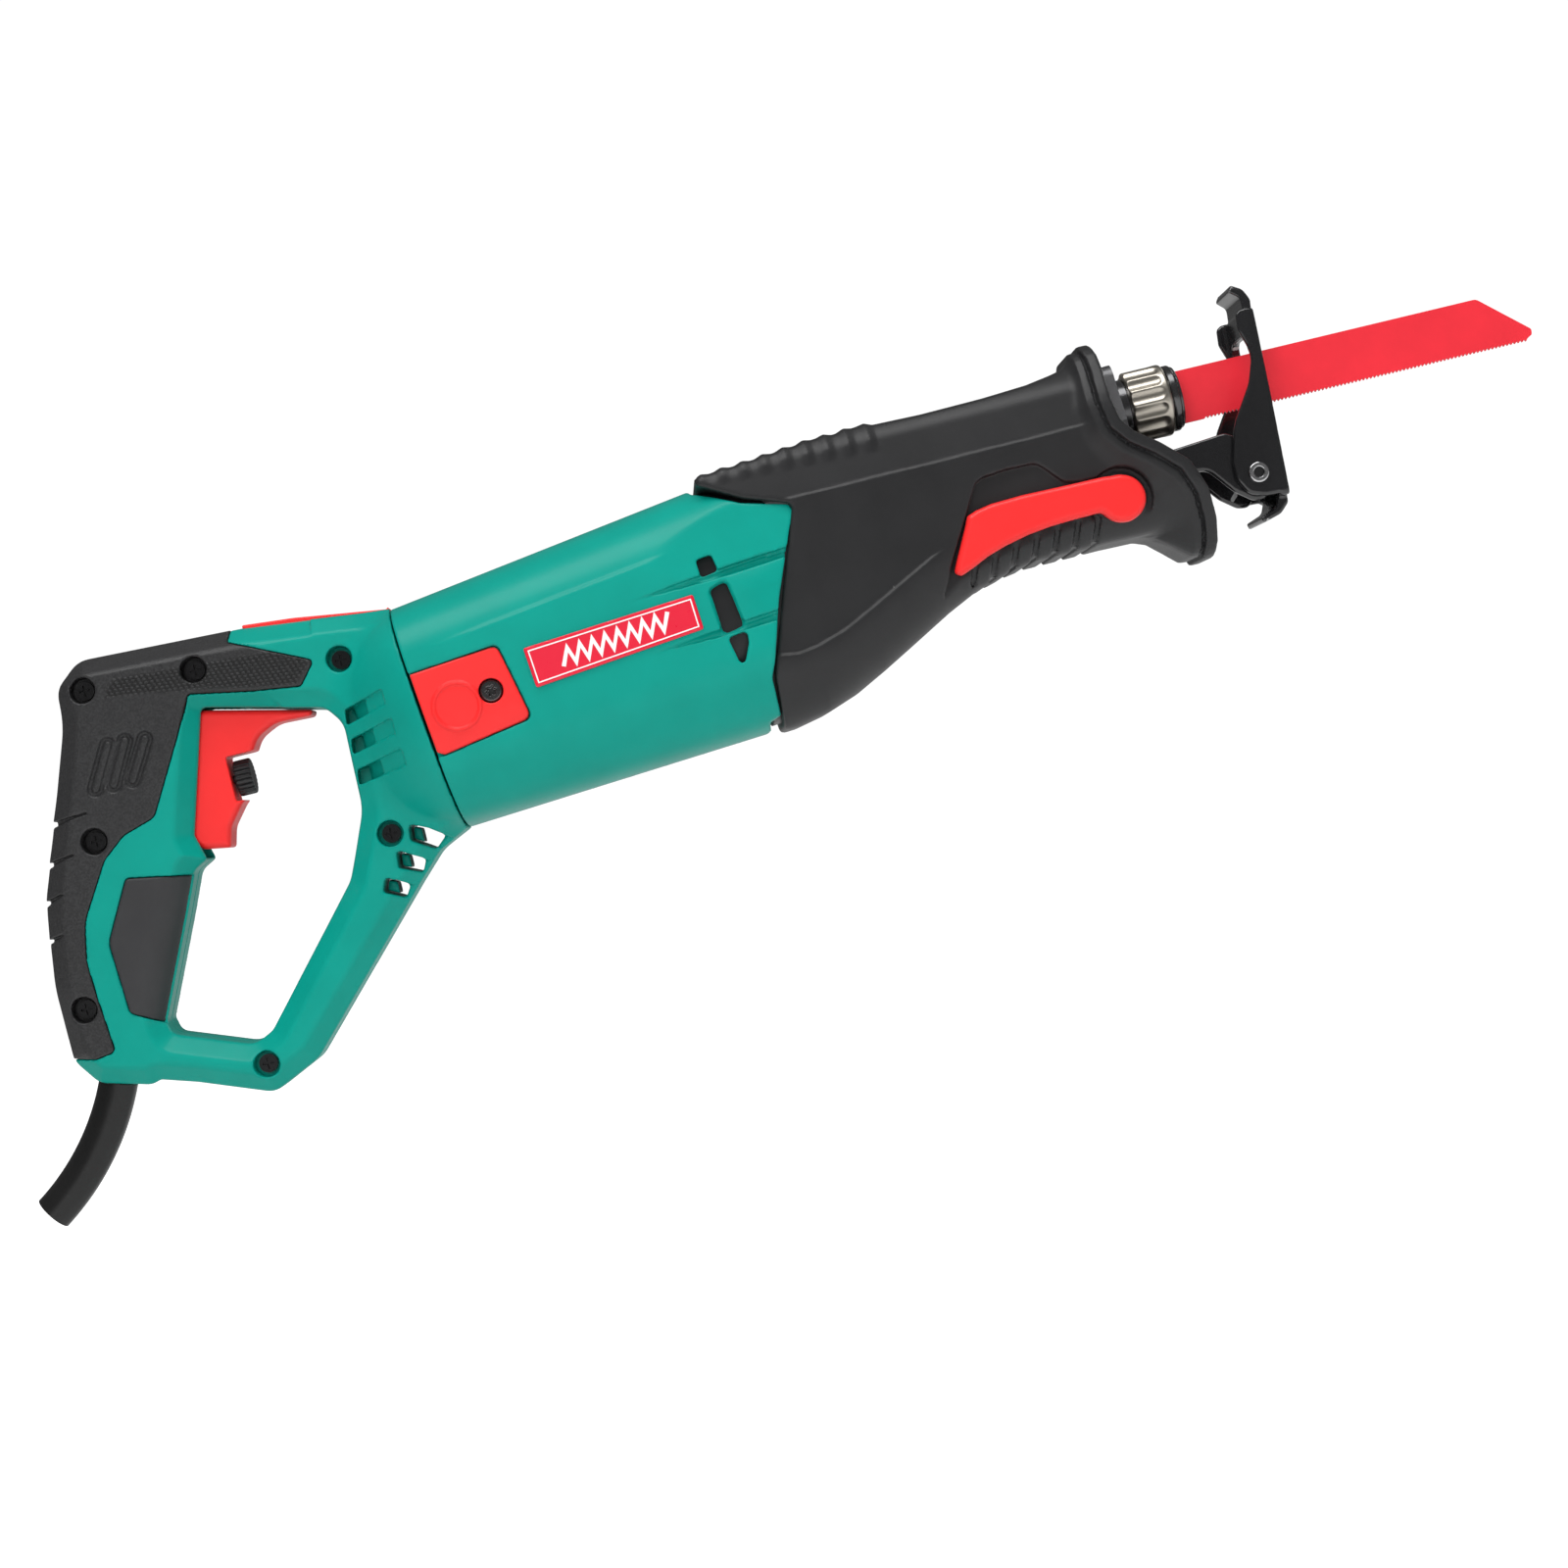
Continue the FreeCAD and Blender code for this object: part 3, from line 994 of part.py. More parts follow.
# ======================= cord ================================================
# The cord leaves the handle foot on an arc about this centre.
ARC_X, ARC_Z = -515.8, -113.6
START_X, START_Z = -431.5, -149.9
start_angle = math.degrees(math.atan2(START_Z - ARC_Z, START_X - ARC_X))
arc_radius = math.hypot(START_Z - ARC_Z, START_X - ARC_X)
CORD_AT = Placement(Vector(ARC_X, 0, ARC_Z), Rotation(Vector(0, 1, 0), -start_angle))
CORD_RAD = size("cord_rad")

body = new_body("cord_guard", CORD_AT)
spin(body, PLAN, annulus(arc_radius, 0, size("guard_rad"), CORD_RAD + 0.1), axis="V_Axis",
     angle=33.0, radii=("dims.guard_rad",))

# curved cord, with a straight length running into the handle
body = new_body("power_cord", CORD_AT)
spin(body, PLAN, circle(arc_radius, 0, CORD_RAD), axis="V_Axis", angle=32.8,
     radii=("dims.cord_rad",))
bar(body, (arc_radius, 0, -0.1), (0, 0, 1), CORD_RAD, 16.0)

body = new_body("cord_clamp")
pad(body, PROFILE, outline([(-430, -134.5), (-419, -131.0), (-417.5, -135.5), (-428.5, -139.0)]),
    3.6, start=-9)

# ---- check and write --------------------------------------------------------
doc.recompute()
problems = []
for item in doc.Objects:
    states = [str(state) for state in item.State]
    if "Invalid" in states or "Error" in states:
        owners = ",".join(owner.Label for owner in item.InList)
        problems.append("%s of %s: %s" % (item.Name, owners, ",".join(states)))
for body in PIECES:
    if body.Shape.isNull() or not body.Shape.isValid() or not body.Shape.Solids:
        problems.append(body.Label + ": bad shape")
if problems:
    raise RuntimeError("\n".join(problems))
for body in PIECES:
    body.Shape.exportStep("parts/%s.step" % body.Label)
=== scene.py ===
# A corded reciprocating saw. It lies along x with the handle at -x and the shoe at +x, z is up,
# and the right-hand side is -y. The chuck axis is the x axis. Shapes are signed distance fields
# in millimetres, negative inside, and are meshed into metres.
import json
import math
from functools import reduce

import bpy
import numpy as np
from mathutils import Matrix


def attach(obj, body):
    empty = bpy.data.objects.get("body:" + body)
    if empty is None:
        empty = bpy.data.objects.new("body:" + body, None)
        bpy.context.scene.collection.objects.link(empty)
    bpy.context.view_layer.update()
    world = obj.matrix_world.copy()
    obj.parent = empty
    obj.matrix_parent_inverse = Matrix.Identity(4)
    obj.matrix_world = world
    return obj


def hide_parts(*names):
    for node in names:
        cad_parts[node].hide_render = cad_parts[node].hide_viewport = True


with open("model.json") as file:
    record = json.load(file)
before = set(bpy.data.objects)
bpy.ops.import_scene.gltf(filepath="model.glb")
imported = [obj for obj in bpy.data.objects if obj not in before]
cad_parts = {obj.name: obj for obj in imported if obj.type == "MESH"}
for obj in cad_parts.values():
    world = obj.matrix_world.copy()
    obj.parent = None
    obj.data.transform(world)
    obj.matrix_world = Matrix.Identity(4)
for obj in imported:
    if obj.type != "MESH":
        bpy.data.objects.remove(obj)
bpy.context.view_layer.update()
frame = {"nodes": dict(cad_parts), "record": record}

import openvdb as vdb
from mathutils import Matrix, Vector

MM = 0.001
SIDES = ((-1, "right"), (1, "left"))    # sign of y, name

# The motor frame: its x runs forward along the motor axis, which rises by the tilt.
TILT = math.radians(5.88)
MOTOR_ORIGIN = np.array([-292.3, 0.0, -50.2])
COS, SIN = math.cos(TILT), math.sin(TILT)
MOTOR_TURN = np.array([[COS, 0, -SIN], [0, 1, 0], [SIN, 0, COS]])

# ---------------------------------------------------------------- fields


def round_corners(points):
    """Closed polygon from (x, z, radius) corners; one without a radius stays sharp."""
    path = []
    for i, (x, z, *radius) in enumerate(points):
        corner = np.array((x, z), float)
        radius = radius[0] if radius else 0
        back = np.array(points[i - 1][:2], float) - corner
        ahead = np.array(points[(i + 1) % len(points)][:2], float) - corner
        back_length, ahead_length = np.linalg.norm(back), np.linalg.norm(ahead)
        back, ahead = back / back_length, ahead / ahead_length
        angle = math.acos(max(-1, min(1, float(back @ ahead))))
        if radius <= 0 or angle > math.pi - 0.02:
            path.append(tuple(corner))
            continue
        reach = min(radius / math.tan(angle / 2), 0.47 * min(back_length, ahead_length))
        start, end = corner + back * reach, corner + ahead * reach
        for k in range(6):
            t = k / 5
            path.append(tuple((1 - t) ** 2 * start + 2 * t * (1 - t) * corner + t * t * end))
    return np.array(path)


def to_line(start, end, x, z):
    """Distance to a straight segment."""
    dx, dz = end[0] - start[0], end[1] - start[1]
    length2 = dx * dx + dz * dz + 1e-12
    t = np.clip(((x - start[0]) * dx + (z - start[1]) * dz) / length2, 0, 1)
    return np.sqrt((x - start[0] - t * dx) ** 2 + (z - start[1] - t * dz) ** 2)


def to_path(points, x, z):
    """Distance to an open path."""
    return reduce(np.minimum, (to_line(a, b, x, z) for a, b in zip(points, points[1:])))


def to_outline(points, x, z):
    """Signed distance to a closed outline of (x, z, radius) corners."""
    path = round_corners(points)
    path = [*path, path[0]]
    gap = to_path(path, x, z)
    inside = np.zeros(gap.shape, bool)
    for (x0, z0), (x1, z1) in zip(path, path[1:]):
        if z0 != z1:
            inside ^= ((z0 > z) != (z1 > z)) & (x < (x1 - x0) * (z - z0) / (z1 - z0) + x0)
    return np.where(inside, -gap, gap)


def to_axis(centre, x, z):
    return np.sqrt((x - centre[0]) ** 2 + (z - centre[1]) ** 2)


def oval(y, z, half_width, half_height, power):
    """Superellipse, 0 on its edge, in units of its own half size."""
    total = np.abs(y / half_width) ** power + np.abs(z / half_height) ** power
    return total ** (1 / power) - 1


def common(*fields, soft=0.0):
    """Intersection, with the edges blended over the width soft."""
    result = fields[0]
    for other in fields[1:]:
        if soft:
            mix = np.clip(0.5 + 0.5 * (result - other) / soft, 0, 1)
            result = other + (result - other) * mix + soft * mix * (1 - mix)
        else:
            result = np.maximum(result, other)
    return result


def join(first, second, soft=0.0):
    return -common(-first, -second, soft=soft)


def cut(body, tool, soft=0.0):
    return common(body, -tool, soft=soft)


def engrave(body, tool, depth, soft=0.0):
    """Cut the tool into the body no deeper than depth below its surface."""
    return cut(body, common(tool, -(body + depth)), soft)


def chamfered(profile, thickness, width, soft):
    return common(profile, thickness, (profile + thickness + width) * 0.7071, soft=soft)


def rounded(profile, thickness, radius):
    """Extrusion of a profile with rounded edges."""
    a, b = profile + radius, thickness + radius
    corner = np.sqrt(np.maximum(a, 0) ** 2 + np.maximum(b, 0) ** 2)
    return corner + np.minimum(np.maximum(a, b), 0) - radius


def ease(start, end, value):
    """Smooth step from 0 at start to 1 at end."""
    t = np.clip((value - start) / (end - start), 0, 1)
    return t * t * (3 - 2 * t)


def to_motor(x, z):
    """Saw frame to motor frame."""
    dx, dz = x - MOTOR_ORIGIN[0], z - MOTOR_ORIGIN[2]
    return dx * COS + dz * SIN, -dx * SIN + dz * COS


# ---------------------------------------------------------------- meshes


def lattice(x_span, y_span, z_span, step):
    """Sampling block (origin, step) and its axes, shaped to broadcast against each other."""
    x, y, z = (np.arange(low, high + step, step) for low, high in (x_span, y_span, z_span))
    block = np.array([x[0], y[0], z[0]]), step
    return block, x[:, None, None], y[None, :, None], z[None, None, :]


def mesh(name, block, field, material, body="tool", replaced=None, in_motor=False, mask=None):
    """Quad mesh of a field; mask gives the point attribute "mask" from the vertices."""
    origin, step = block
    limit = 3 * step
    grid = vdb.FloatGrid(background=float(limit))
    grid.copyFromArray(np.ascontiguousarray(np.clip(field, -limit, limit).astype(np.float32)))
    verts, quads = grid.convertToQuads(isovalue=0.0)
    verts = np.asarray(verts, float) * step + origin
    quads = np.asarray(quads)[:, ::-1]
    if mask is not None:
        mask_values = mask(verts)
    if in_motor:
        verts = verts @ MOTOR_TURN.T + MOTOR_ORIGIN
    data = bpy.data.meshes.new(name)
    data.vertices.add(len(verts))
    data.vertices.foreach_set("co", (verts * MM).astype(np.float32).ravel())
    data.loops.add(len(quads) * 4)
    data.loops.foreach_set("vertex_index", quads.astype(np.int32).ravel())
    data.polygons.add(len(quads))
    data.polygons.foreach_set("loop_start", np.arange(0, len(quads) * 4, 4, dtype=np.int32))
    data.polygons.foreach_set("use_smooth", np.ones(len(quads), dtype=bool))
    data.update(calc_edges=True)
    data.validate()     # drops folded quads
    if mask is not None:
        attribute = data.attributes.new("mask", "FLOAT", "POINT")
        attribute.data.foreach_set("value", mask_values.astype(np.float32))
    made = bpy.data.objects.new(name, data)
    bpy.context.scene.collection.objects.link(made)
    # a negative volume means that the faces point inwards
    a, b, c, d = (verts[quads[:, i]] for i in range(4))
    volume = sum(np.einsum("ij,ij->i", a, np.cross(*pair)).sum() for pair in ((b, c), (c, d)))
    if volume < 0:
        data.flip_normals()
    data.materials.append(material)
    if replaced:
        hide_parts(replaced)
    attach(made, body)


def flat_mesh(name, verts, faces, material):
    data = bpy.data.meshes.new(name)
    data.from_pydata([tuple(v) for v in verts], [], faces)
    data.validate()
    data.update()
    made = bpy.data.objects.new(name, data)
    bpy.context.scene.collection.objects.link(made)
    data.materials.append(material)
    return made


# ---------------------------------------------------------------- materials


def feed(tree, socket, value):
    """Link a socket to its source, or set its value."""
    if isinstance(value, bpy.types.NodeSocket):
        tree.links.new(value, socket)
    else:
        socket.default_value = value


def add_node(tree, kind, inputs=None, **settings):
    node = tree.nodes.new("ShaderNode" + kind)
    for key, value in settings.items():
        setattr(node, key, value)
    for key, value in (inputs or {}).items():
        feed(tree, node.inputs[key], value)
    return node


def compute(tree, operation, first, second):
    return add_node(tree, "Math", {0: first, 1: second}, operation=operation).outputs["Value"]


def mix_color(tree, factor, first, second):
    inputs = {0: factor, 6: first, 7: second}
    return add_node(tree, "Mix", inputs, data_type="RGBA").outputs[2]


def smooth_range(tree, value, start, end):
    return add_node(tree, "MapRange", {"Value": value, "From Min": start, "From Max": end},
                    interpolation_type="SMOOTHSTEP").outputs["Result"]


def noise(tree, place, scale, detail):
    inputs = {"Vector": place, "Scale": scale, "Detail": detail}
    return add_node(tree, "TexNoise", inputs).outputs["Fac"]


def paint_edge_highlight(tree, base, level, start=0.535):
    """Painted highlight: lift the base colour to a grey level where the surface is sharply
    convex.
    """
    convex = add_node(tree, "NewGeometry").outputs["Pointiness"]
    factor = smooth_range(tree, convex, start=start, end=0.60)
    return mix_color(tree, factor, base, (level, level, level, 1))


def stipple(tree, place, grain, base):
    """Colour and height of rows of raised dots inside the mask, over an all-over grain; the gaps
    between the dots get painted shade.
    """
    mask = add_node(tree, "Attribute", attribute_name="mask").outputs["Fac"]
    turned = add_node(tree, "Mapping", {"Vector": place, "Rotation": (0, math.radians(-6), 0)})
    axes = add_node(tree, "SeparateXYZ", {"Vector": turned.outputs["Vector"]}).outputs
    # stretched and sheared rows in the xz plane
    along = compute(tree, "ADD", compute(tree, "MULTIPLY", axes["X"], 0.62),
                    compute(tree, "MULTIPLY", axes["Z"], 0.31))
    plane = add_node(tree, "CombineXYZ", {"X": along, "Y": axes["Z"]}).outputs["Vector"]
    cells = add_node(tree, "TexVoronoi", {"Vector": plane, "Scale": 820.0, "Randomness": 0.06},
                     voronoi_dimensions="2D").outputs["Distance"]
    dots = compute(tree, "MULTIPLY", smooth_range(tree, cells, start=0.40, end=0.22), mask)
    height = compute(tree, "ADD", compute(tree, "MULTIPLY", dots, 2.2),
                     compute(tree, "MULTIPLY", grain, 0.9))
    # painted shade: the gaps between the dots are darkened towards black
    gap_shade = compute(tree, "MULTIPLY", compute(tree, "SUBTRACT", mask, dots), 0.7)
    return mix_color(tree, gap_shade, base, (0.006, 0.006, 0.006, 1)), height


ROUGH_SPREAD = 0.06     # roughness varies by this either way with the grain


def material(name, color, rough, bump, scale, vary, metal=0.0, coat=0.0, spec=0.5,
             edge_highlight=None, dotted=False):
    """Principled material; scale is the grain's, vary the relative spread of the colour,
    edge_highlight the settings of a painted highlight on sharply convex edges.
    """
    made = bpy.data.materials.new(name)
    made.use_nodes = True
    tree = made.node_tree
    place = add_node(tree, "TexCoord").outputs["Object"]
    grain = noise(tree, place, scale, detail=3)
    if dotted:
        tone, stops = grain, (0.38, 0.66)
    else:
        tone, stops = noise(tree, place, scale * 0.05, detail=6), (0.3, 0.7)
    ramp = add_node(tree, "ValToRGB", {"Fac": tone})
    dark, light = ramp.color_ramp.elements
    dark.position, light.position = stops
    dark.color = (*(c * (1 - vary) for c in color), 1)
    light.color = (*(c * (1 + vary) + vary * 0.004 for c in color), 1)
    base, height = ramp.outputs["Color"], grain
    # painted highlight: a lighter grey on sharply convex edges
    if edge_highlight:
        base = paint_edge_highlight(tree, base, **edge_highlight)
    if dotted:
        base, height = stipple(tree, place, grain, base)
    roughness = add_node(tree, "MapRange", {
        "Value": grain, "To Min": rough - ROUGH_SPREAD, "To Max": rough + ROUGH_SPREAD})
    relief = add_node(tree, "Bump", {"Strength": bump, "Distance": 0.0003, "Height": height})
    for key, value in {
            "Base Color": base, "Roughness": roughness.outputs["Result"], "Metallic": metal,
            "Specular IOR Level": spec, "Coat Weight": coat, "Coat Roughness": 0.15,
            "Normal": relief.outputs["Normal"]}.items():
        feed(tree, tree.nodes["Principled BSDF"].inputs[key], value)
    return made


TEAL = material("teal", color=(0.0015, 0.285, 0.228), rough=0.34, bump=0.05, scale=900,
                vary=0.05, spec=0.15, coat=0.04)
GRIP = material("grip", color=(0.026, 0.026, 0.027), rough=0.40, bump=0.6, scale=1700,
                vary=0.25, spec=0.42, dotted=True)
PAD = material("pad", color=(0.036, 0.036, 0.038), rough=0.45, bump=0.1, scale=900,
               vary=0.08, spec=0.3)
# the boot's sharp edges get a painted highlight
BOOT = material("boot", color=(0.020, 0.020, 0.021), rough=0.40, bump=0.04, scale=1100,
                vary=0.08, spec=0.32, edge_highlight=dict(level=0.075))
RED = material("red", color=(0.86, 0.022, 0.022), rough=0.36, bump=0.06, scale=1300,
               vary=0.03, spec=0.35, coat=0.05)
BLADE = material("blade_paint", color=(0.80, 0.022, 0.038), rough=0.34, bump=0.05, scale=1500,
                 vary=0.04, coat=0.25)
BLACK = material("black_plastic", color=(0.012, 0.012, 0.013), rough=0.38, bump=0.08,
                 scale=1500, vary=0.15)
# the shoe's sharp edges get a painted highlight
SHOE = material("shoe_black", color=(0.010, 0.010, 0.011), rough=0.18, bump=0.05, scale=700,
                vary=0.15, coat=0.7, edge_highlight=dict(level=0.34, start=0.53))
NICKEL = material("nickel", color=(0.56, 0.52, 0.45), rough=0.36, metal=1.0, bump=0.06,
                  scale=1300, vary=0.05)
STEEL = material("steel", color=(0.62, 0.62, 0.63), rough=0.22, metal=1.0, bump=0.05,
                 scale=1600, vary=0.05)
DARK_STEEL = material("dark_steel", color=(0.12, 0.12, 0.122), rough=0.22, metal=0.9,
                      bump=0.05, scale=1600, vary=0.1)
SCREW = material("screw", color=(0.022, 0.022, 0.023), rough=0.32, metal=0.6, bump=0.05,
                 scale=1600, vary=0.1)
COPPER = material("copper", color=(0.75, 0.30, 0.14), rough=0.3, metal=1.0, bump=0.1,
                  scale=1200, vary=0.1)
CARBON = material("carbon", color=(0.03, 0.03, 0.03), rough=0.6, bump=0.2, scale=1800,
                  vary=0.2)
ALLOY = material("cast_alloy", color=(0.17, 0.17, 0.175), rough=0.45, metal=1.0, bump=0.3,
                 scale=900, vary=0.08)
BRONZE = material("bronze", color=(0.55, 0.36, 0.16), rough=0.4, metal=1.0, bump=0.2,
                  scale=1300, vary=0.1)
CORD = material("cord", color=(0.010, 0.010, 0.010), rough=0.3, bump=0.04, scale=900,
                vary=0.15, spec=0.35, coat=0.05)
LABEL = material("label", color=(0.72, 0.003, 0.03), rough=0.3, bump=0.02, scale=900,
                 vary=0.03, coat=0.3)
WHITE = material("label_white", color=(0.85, 0.85, 0.85), rough=0.35, bump=0.02, scale=900,
                 vary=0.02)

SLOT_MATERIALS = {
    "teal_plastic": TEAL, "grip_rubber": BOOT, "grey_rubber": PAD, "red_plastic": RED,
    "label_film": LABEL, "black_plastic": BLACK, "steel": STEEL, "copper": COPPER,
    "carbon": CARBON, "cast_alloy": ALLOY, "bronze": BRONZE, "seal_rubber": BOOT,
    "nickel": NICKEL, "dark_steel": SHOE, "blade_red": BLADE, "cord_rubber": CORD}
NODE_MATERIALS = {"handle_screws": SCREW, "front_sleeve": DARK_STEEL}    # override the slots


def paint_cad():
    for part in frame["record"]["subparts"]:
        piece = frame["nodes"][part["node"]]
        paint = NODE_MATERIALS.get(part["node"], SLOT_MATERIALS[part["material_slot"]])
        for slot in piece.material_slots:
            slot.material = paint
        if not piece.material_slots:
            piece.data.materials.append(paint)


# ---------------------------------------------------------------- handle


def draw_in(points):
    """Pull the points behind x = -305 slightly towards x = -218."""
    return [(-218 + (x + 218) * 0.9915 if x < -305 else x, *rest) for x, *rest in points]


# Outlines seen from the side: x, z, corner radius.
HANDLE_OUTER = draw_in([
    (-280, -7.5), (-297, -8.9), (-350, -2.8, 60), (-410.5, -0.6, 9), (-419.6, -9.5, 9),
    (-420.3, -22, 40), (-431, -53, 60), (-441.2, -82, 60), (-445.2, -112, 60),
    (-444.8, -139, 9), (-438, -148.5, 7), (-420, -153.6, 6), (-416.5, -152.6, 2),
    (-404, -156.6, 4), (-378, -166.8, 8), (-360, -158.6, 12), (-309.8, -106.6, 25),
    (-299.4, -97.0, 12), (-288.2, -91.4), (-278, -91)])
HANDLE_INNER = draw_in([
    (-371, -27.6, 2), (-328, -37.8, 8), (-322.7, -45, 10), (-323.6, -76, 22),
    (-334.4, -99.6, 14), (-374, -144.8, 7), (-381, -148, 8), (-408.3, -137.5, 4),
    (-409.3, -132.5, 3), (-393, -97, 12), (-387, -83.2, 4), (-381.5, -80.3, 1.5),
    (-384, -71, 2)])
COVER = [
    (-353.7, -2.0), (-355.2, -7.4, 1), (-326.7, -20.9, 1.5), (-333, -28.6, 1.5),
    (-350, -26.2, 20), (-372.4, -21.9, 2), (-380, -36.6, 20), (-394, -61.5, 5),
    (-406, -65.2, 8), (-414.6, -72.2, 10), (-426.3, -91.7, 20), (-429, -105.5, 20),
    (-428.4, -118.6, 20), (-426.7, -138.6, 2), (-433.6, -139.6, 4), (-452, -136),
    (-456, 10), (-353, 10)]
FRONT_PAD = [
    (-408.6, -80.4, 1.5), (-385.4, -84.8, 1), (-378, -84.5), (-378, -110), (-400, -140),
    (-406.4, -134, 1), (-418.2, -126.5, 2), (-419.6, -101, 8)]
TRIGGER_OPENING = [
    (-402, -79.6), (-378, -79.6), (-362, -60), (-340, -37), (-366, -26.0), (-402, -26.0)]
DOTTED_BAND = [
    (-397, -10.2), (-335, -14.2), (-327.5, -20.9), (-334, -28.0), (-352, -25.4),
    (-372, -21.2), (-386, -19.0), (-402, -17.0)]
BELL_SLOTS = [
    [(-319.8, -40.6, 0.6), (-304.2, -37.4, 0.6), (-304.2, -43.0, 0.6), (-320.6, -46.1, 0.6)],
    [(-320.2, -51.2, 0.6), (-303.2, -48.2, 0.6), (-303.2, -53.8, 0.6), (-321.0, -56.6, 0.6)],
    [(-320.8, -62.2, 0.6), (-302.5, -59.3, 0.6), (-302.2, -65.3, 0.6), (-321.6, -67.6, 0.6)]]
STRUT_VENTS = [
    [(-307.4, -86.0, 0.8), (-301.6, -88.7, 1), (-297.2, -92.0, 0.5), (-300.8, -95.2, 0.5),
     (-307.9, -90.8, 0.8)],
    [(-313.9, -94.0, 0.8), (-306.0, -98.7, 0.8), (-307.6, -102.2, 0.8), (-314.4, -99.2, 0.8)],
    [(-320.2, -102.4, 0.8), (-313.5, -106.3, 0.8), (-315.5, -109.5, 0.8),
     (-321.7, -106.4, 0.8)]]
# Straight features: (x, z) of both ends.
GUTTERS = [((-303, -91.0), (-292, -97.5)), ((-310, -98.5), (-301, -104.5)),
           ((-317.5, -105.5), (-308, -112))]
GRIP_BARS = [((-411.5, -47.0), (-403.8, -33.0)), ((-405.0, -47.0), (-397.6, -33.0)),
             ((-398.2, -47.0), (-390.6, -34.0))]
GRIP_NOTCHES = [((-431.0, -55.6), (-418.0, -54.6)), ((-437.5, -69.6), (-426.0, -67.9)),
                ((-441.5, -82.8), (-433.0, -80.6)), ((-444.5, -96.4), (-436.0, -94.4))]
# Centres (x, z) of the screw holes.
SCREW_HOLES = [(-408.0, -12.1), (-368.4, -14.1), (-317.6, -22.6), (-416.4, -64.9),
               (-314.9, -86.9), (-433.8, -121.8), (-376.4, -155.8)]
FINE_STEP = 0.56


def handle_solid(profile, x, y, z):
    """Both halves of the handle without openings."""
    across = np.abs(y)
    # slimmer towards the foot
    half_width = 16.6 - 1.4 * ease(-395, -330, x) * ease(-80, -110, z)
    # slanted bars, each standing in a groove
    for start, end in GRIP_BARS:
        gap = to_line(start, end, x, z)
        half_width = (half_width - 1.25 * (1 - ease(2.5, 3.1, gap))
                      + 1.25 * (1 - ease(1.0, 1.6, gap)))
    # upper facet of the grip
    crease = -8.2 - (x + 407) * 0.055
    half_width = half_width - 0.42 * np.maximum(0, z - crease) * (x < -325) * (z > -14)
    loop = chamfered(profile, across - half_width, width=6.5, soft=0.9)
    # bell that widens towards the motor housing
    station, height = to_motor(x, z)
    t = ease(-40, 3, station)
    bell_width = 13.0 + 27.6 * t ** 1.15
    bell_height = 30.0 + 11.2 * t
    bell = oval(across, height + 0.5 * (1 - t), bell_width, bell_height, power=2.5)
    bell = bell * np.minimum(bell_width, bell_height) * 0.9
    bell = common(common(bell, profile, soft=1.6), -(station + 46))
    solid = common(join(loop, bell, soft=5.0), profile, soft=0.8)
    return common(solid, station + 0.35)


def cut_louvres(shell, x, y, z):
    across = np.abs(y)
    # slanted slots in the bell, deeper behind a step
    for points in BELL_SLOTS:
        slot = to_outline(points, x, z)
        (_, z0, _), (_, z1, _), (_, z2, _), (_, z3, _) = points
        step = to_outline([(-311.5, z0 + 1.2), (-300, z1 + 3), (-300, z2 - 3),
                           (-311.5, z3 + 1.5)], x, z)
        shell = engrave(shell, common(slot, 9.0 - across), depth=1.3)
        shell = engrave(shell, common(slot, -step, 9.0 - across),
                        depth=2.4 + 0.34 * np.maximum(0, -311 - x))
    # through vents in the strut, with a web across the rear of each and a shallow lip
    for points in STRUT_VENTS:
        vent = to_outline(points, x, z)
        web = common(vent - 0.4, across - 7.0, x - (points[0][0] + 3.4))
        shell = join(cut(shell, vent), web)
        shell = engrave(shell, vent - 0.7, depth=0.6, soft=0.3)
    # gutters from the vents to the outer edge
    for start, end in GUTTERS:
        gutter = to_line(start, end, x, z) - 2.3
        shell = engrave(shell, common(gutter, 9.5 - across), depth=0.9)
    return shell


def notch_cover(cover, base, x, z):
    """Notches in the rear of the cover; the segment above each swells downwards."""
    for start, end in GRIP_NOTCHES:
        gap = to_line(start, (end[0] + 1.5, end[1]), x, z)
        notch = gap - 0.75 * ease(end[0] + 3.0, start[0], x) - 0.3
        cover = cut(cover, common(notch, -(base + 1.25)), soft=0.4)
        bottom = start[1]
        rise = np.clip((z - bottom) / 10.0, 0, 1)
        cover = cover - (0.35 * (1 - rise) * (z > bottom) * (z < bottom + 10)
                         * ease(end[0], start[0], x))
    return cover


def dotted_band(verts):
    x, y, z = verts.T
    return np.clip(-to_outline(DOTTED_BAND, x, z) / 1.2, 0, 1) * (np.abs(y) > 10)


